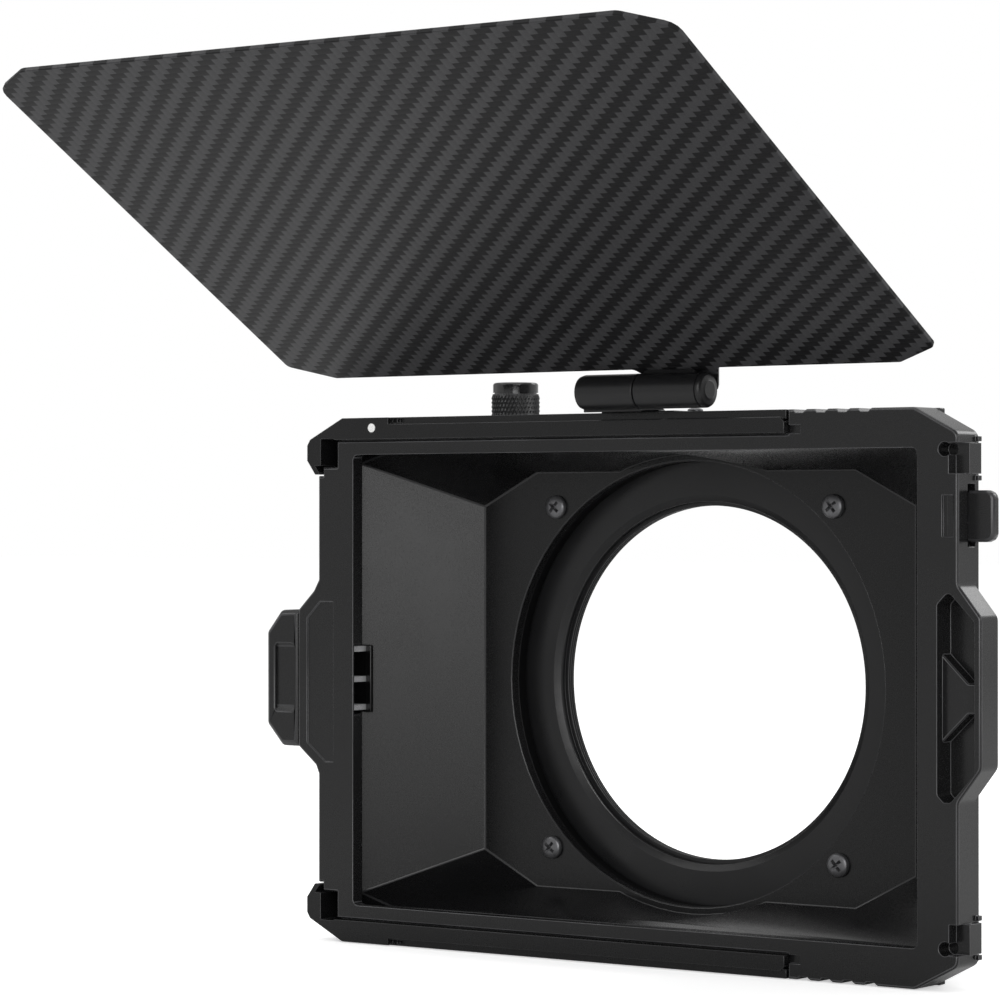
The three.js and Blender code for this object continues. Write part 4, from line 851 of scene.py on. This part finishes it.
# %% Screws from behind
rail_head, cover_head, rivet_head = 1.2 * MM, 0.7 * MM, 0.8 * MM
rail_screw = pan_head(1.7 * MM, rail_head, 0.9 * MM, 4.4 * MM)
cover_screw = pan_head(1.2 * MM, cover_head, 0.7 * MM, 3.4 * MM)
rivet = pan_head(1.35 * MM, rivet_head, 0.7 * MM, 2.1 * MM, recess=False)
from_behind = [(f"rail_screw_{side}_{index}", rail_screw, rail_head)
               for side in ("top", "bottom") for index in (1, 2, 3)]
from_behind += [(f"latch_cover_screw_{index}", cover_screw, cover_head) for index in (1, 2)]
from_behind += [("catch_rivet", rivet, rivet_head)]
for index, (node, mesh, head_high) in enumerate(from_behind):
    middle, corner, opposite = centre_of(node)
    seat = Vector((middle.x, opposite.y - head_high, middle.z))
    set_screw("cross_" + node, node, mesh, seat, (0.0, 1.0, 0.0), 17.0 * index)
print("from behind:", len(from_behind))

# %% [markdown]
# ## Screws of the hinge
#
# Two screws hold the bracket on the top rail, and two more pinch the flag between its leaf and the clamp
# plate. The flag is tilted, so the axis of these two is the upright turned by the same angle. Their seat
# lies above the hinge's axis by the lift of the leaf and what is stacked on it.

# %% Hinge screws
bracket_head = 0.8 * MM
bracket_screw = pan_head(1.6 * MM, bracket_head, 0.9 * MM, 4.6 * MM)
for index in (1, 2):
    node = f"bracket_screw_{index}"
    middle, corner, opposite = centre_of(node)
    seat = Vector((middle.x, middle.y, opposite.z - bracket_head))
    set_screw("cross_" + node, node, bracket_screw, seat, (0.0, 0.0, 1.0), 25.0 * index)

tilted = Matrix.Rotation(-flag_tilt, 3, "X")
off_the_flag, along_the_flag = tilted @ Vector((0.0, 0.0, 1.0)), tilted @ Vector((0.0, 1.0, 0.0))
lift, leaf, play, sheet = 3.66, 1.0, 0.1, 1.4
screw_back, plate_top = 3.9 * MM, (lift + leaf + play + sheet) * MM
flag_screw = pan_head(1.3 * MM, 0.8 * MM, 0.7 * MM, plate_top - lift * MM + 2.0 * MM)
for index in (1, 2):
    node = f"flag_screw_{index}"
    middle, corner, opposite = centre_of(node)
    seat = hinge_axis + Vector((middle.x, 0.0, 0.0)) + along_the_flag * screw_back + off_the_flag * plate_top
    set_screw("cross_" + node, node, flag_screw, seat, off_the_flag, 40.0 * index)
print("hinge screws: 4")

# %% [markdown]
# ## Latch springs
#
# Two small coils push the latch back in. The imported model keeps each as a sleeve, because only the
# space matters there. The coil itself is a wire swept along a helix, written as rings of points, with
# its last turns closed up so that it would stand flat on its seat.

# %% Coil helper
CLOSING, POINTS_A_TURN, WIRE_SIDES = 0.35, 24, 10


def coil(name, node, turns, wire):
    """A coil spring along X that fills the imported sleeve."""
    middle, corner, opposite = centre_of(node)
    radius = (opposite.z - corner.z) / 2 - wire
    start, end = corner.x + wire, opposite.x - wire
    steps, around = turns * POINTS_A_TURN, [2 * math.pi * side / WIRE_SIDES for side in range(WIRE_SIDES)]
    bm = bmesh.new()
    rings = []
    for step in range(steps + 1):
        share = step / steps
        eased = share - CLOSING * math.sin(2 * math.pi * share) / (2 * math.pi)
        turn = 2 * math.pi * turns * share
        spoke = Vector((0.0, math.cos(turn), math.sin(turn)))
        hub = Vector((start + (end - start) * eased, middle.y, middle.z))
        rings.append([bm.verts.new(hub + spoke * (radius + wire * math.cos(angle))
                                   + Vector((wire * math.sin(angle), 0.0, 0.0))) for angle in around])
    for first, second in zip(rings, rings[1:]):
        for side in range(WIRE_SIDES):
            after = (side + 1) % WIRE_SIDES
            bm.faces.new((first[side], first[after], second[after], second[side]))
    bm.faces.new(rings[0])
    bm.faces.new(rings[-1][::-1])
    bmesh.ops.recalc_face_normals(bm, faces=bm.faces)
    return dress(shade(show(name, finish_mesh(bm, name)), angle=60.0), node)


print("a turn has", POINTS_A_TURN, "points")

# %% [markdown]
# ## The two coils
#
# Pulling the latch shortens its coils against the outer wall. Here both coils are made at rest, each with a
# mesh of its own; nothing shortens them when the latch is pulled.

# %% Coils
pull, coil_turns, wire = 2.1 * MM, 8, 0.24 * MM
for side in ("upper", "lower"):
    spring = coil("coil_" + side, "latch_spring_" + side, coil_turns, wire)
    middle, outer_end, inner_end = centre_of("latch_spring_" + side)
    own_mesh(spring)
print("coils: 2, of", coil_turns, "turns")

# %% [markdown]
# ## The sprung catch
#
# Pressing the button slides its two prongs over the sloped wings of the catch, and the leaf bends forwards
# until the hook has left the hood's flange. A leaf that bends is not one rigid piece, so the copy is cut
# across into bands, with the root under its rivet as the lowest. The bands keep their places here, so the leaf
# stays straight.

# %% Catch bands
def band(mesh, name, low, high):
    """The part of a mesh between two heights, closed where it is cut."""
    bm = bmesh.new()
    bm.from_mesh(mesh)
    for height, outwards in ((low, -1.0), (high, 1.0)):
        cut_by = bmesh.ops.bisect_plane(
            bm, geom=bm.verts[:] + bm.edges[:] + bm.faces[:], dist=WELD, plane_co=(0.0, 0.0, height),
            plane_no=(0.0, 0.0, outwards), clear_outer=True)
        rim = [item for item in cut_by["geom_cut"] if isinstance(item, bmesh.types.BMEdge)]
        bmesh.ops.edgenet_fill(bm, edges=rim)
    return finish_mesh(bm, name)


print("bands are cut to", round(WELD / MM, 4), "mm")

# %% [markdown]
# ## The bend, band by band
#
# The root reaches up to just above the rivet. Above it, each band has a listed share of its distance from the
# front wall of the bay in the tray, down to a quarter for the last one, with hook and wings, which would take
# the hook out of the flange and the wings out of the prongs' way. Only the print reads these shares; no band
# is moved.

# %% Catch
catch = softened_mesh("tray_catch_soft", "tray_catch", 0.05)
middle, _, hook_back = centre_of("tray_catch")
bay_wall = -41.8 * MM
heights = [22.0, 27.4, 28.2, 29.0, 29.8, 30.6, 31.3, 39.0]
keeps = [1.0, 0.88, 0.75, 0.62, 0.49, 0.36, 0.25]
for count, (low, high, keep) in enumerate(zip(heights, heights[1:], keeps), 1):
    name = f"catch_band_{count}"
    leaf = dress(show(name, band(catch, name, low * MM, high * MM)), "tray_catch")
    if keep < 1.0:
        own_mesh(leaf)
hook_reach = (hook_back.y - bay_wall) / MM
print("catch bands:", len(keeps), "and the hook goes from", round(hook_reach, 2), "to",
      round(hook_reach * keeps[-1], 2), "mm off the bay's front wall")

# %% [markdown]
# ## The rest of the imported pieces
#
# Pins, clips and bars are hidden inside or already have their whole shape, so they stay as they are and
# only get their finish.

# %% Finish for what stays
kept = [node for node, piece in frame["nodes"].items() if not piece.hide_render]
for node in kept:
    mesh = frame["nodes"][node].data
    mesh.materials.clear()
    mesh.materials.append(finishes[slot_of[node]])
print("kept as packed:", len(kept))

# %% [markdown]
# ## What looks white
#
# A product picture of a black object needs large soft sources: the object itself shows little colour, so
# what the eye reads is the reflection of those sources. A light path node says which kind of ray asks.
# That lets the ground behind the object be white to the camera without any more light on the object.

# %% Seen directly
def seen(owner, kinds):
    """1 for rays of the named kinds, and 0 for the others."""
    path = owner.node_tree.nodes.new("ShaderNodeLightPath")
    found = 0.0
    for kind in kinds:
        found = calc(owner, "MAXIMUM", found, path.outputs[kind])
    return found


LOOKING = ("Is Camera Ray", "Is Transmission Ray")
print("white to:", LOOKING)

# %% [markdown]
# ## The room
#
# In a studio the room round the camera is dark, and white cards stand behind the object, above it and at
# its front left. A glossy black plastic shows that difference: in an even white room it would look grey
# all over. So for glossy rays the surroundings go softly from dark to bright by direction, the camera
# sees plain white, and the light that falls on the object is a dimmer even white.

# %% Surroundings
sky_light, studio_dark, studio_bright = 0.6, 0.14, 0.8
card_starts, card_full = 0.2, 0.75
world = bpy.data.worlds.new("surroundings")
world.use_nodes = True
bpy.context.scene.world = world
sky = world.node_tree.nodes["Background"]
sky.inputs["Color"].default_value = (1.0, 1.0, 1.0, 1.0)
direction = world.node_tree.nodes.new("ShaderNodeTexCoord").outputs["Generated"]
split = world.node_tree.nodes.new("ShaderNodeSeparateXYZ")
plug_in(world, direction, split.inputs[0])
front_left = calc(world, "ADD", calc(world, "MULTIPLY", split.outputs["X"], -0.6),
                  calc(world, "MULTIPLY", split.outputs["Y"], -0.8))
behind = calc(world, "ADD", split.outputs["Y"], 0.1)
towards_cards = calc(world, "MAXIMUM", calc(world, "MAXIMUM", front_left, behind), split.outputs["Z"])
cards = span(world, towards_cards, card_starts, card_full, studio_dark, studio_bright)
cards.node.interpolation_type = "SMOOTHSTEP"
direct = seen(world, LOOKING)
mirrored = calc(world, "MULTIPLY", seen(world, ("Is Glossy Ray",)), cards)
falling = calc(world, "SUBTRACT", 1.0, seen(world, LOOKING + ("Is Glossy Ray",)))
strength = calc(world, "ADD", calc(world, "MAXIMUM", direct, mirrored),
                calc(world, "MULTIPLY", falling, sky_light))
plug_in(world, strength, sky.inputs["Strength"])
print("room from", studio_dark, "to", studio_bright, "in reflections")

# %% [markdown]
# ## The floor
#
# The floor is a large pale sheet just under the box. Its colour bounces some light up, and it takes the
# soft shadow that seats the object. A glow that only looking rays see lifts the lit part to white, so
# that no horizon shows where it ends.

# %% Floor
floor_reach, floor_glow, floor_gap = 6.0, 0.5, 0.2 * MM
level = cad_box[0].z - floor_gap
floor_mesh = bpy.data.meshes.new("floor")
corners = [(x * floor_reach, y * floor_reach, level) for x, y in ((-1, -1), (1, -1), (1, 1), (-1, 1))]
floor_mesh.from_pydata(corners, [], [(0, 1, 2, 3)])
floor = show("floor", floor_mesh)
floor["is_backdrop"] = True
floor_finish, floor_shader = new_finish("floor")
floor_shader.inputs["Base Color"].default_value = (0.9, 0.9, 0.9, 1.0)
floor_shader.inputs["Roughness"].default_value = 0.9
floor_shader.inputs["Specular IOR Level"].default_value = 0.0
glow = floor_finish.node_tree.nodes.new("ShaderNodeEmission")
plug_in(floor_finish, calc(floor_finish, "MULTIPLY", seen(floor_finish, LOOKING), floor_glow),
        glow.inputs["Strength"])
both = floor_finish.node_tree.nodes.new("ShaderNodeAddShader")
plug_in(floor_finish, floor_shader.outputs[0], both.inputs[0])
plug_in(floor_finish, glow.outputs[0], both.inputs[1])
plug_in(floor_finish, both.outputs[0], floor_finish.node_tree.nodes["Material Output"].inputs["Surface"])
floor_mesh.materials.append(floor_finish)
print("floor at", round(level / MM, 2), "mm")

# %% [markdown]
# ## Lamps
#
# Four soft boxes stand round the part. The key, in front at the right, lights the right sides and shines
# in the hood's left wall. The one behind draws the back and the right ends, the one at the upper left
# draws the upper edges, and the one above lights the top. A lamp's brightness is given by its radiance,
# so that a lamp can be made larger and softer without getting brighter.

# %% Lamps
middle_of_part = (cad_box[0] + cad_box[1]) / 2


def soft_box(name, direction, distance, width, height, radiance):
    """A rectangular soft source that faces the middle of the part, of a given radiance."""
    lamp = bpy.data.lights.new(name, "AREA")
    lamp.shape = "RECTANGLE"
    lamp.size, lamp.size_y = width, height
    lamp.energy = radiance * math.pi * width * height
    holder = bpy.data.objects.new(name, lamp)
    holder.location = middle_of_part + Vector(direction).normalized() * distance
    holder.rotation_euler = (middle_of_part - holder.location).to_track_quat("-Z", "Y").to_euler()
    bpy.context.scene.collection.objects.link(holder)
    return holder


lamps = [
    soft_box("key", (0.66, -0.75, 0.2), 1.5, 1.1, 1.1, 3.8),
    soft_box("rear_right", (0.26, 0.8, 0.54), 1.4, 0.55, 0.5, 3.6),
    soft_box("top_front", (-0.59, -0.47, 0.66), 1.4, 0.9, 0.3, 2.2),
    soft_box("top", (-0.1, 0.05, 1.0), 1.4, 1.1, 1.0, 1.6),
]
print("lamps:", len(lamps))

# %% [markdown]
# ## Checking the size
#
# Dressing must not make the part grow: whoever fits it to something relies on the imported sizes. The box
# round everything is measured again, and how far it reaches past the imported one is printed.

# %% Sizes
visual_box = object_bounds()
grown = [round((after - before) / MM, 3) for cad, visual in zip(cad_box, visual_box)
         for before, after in zip(cad, visual)]
print("grown by", grown, "mm")
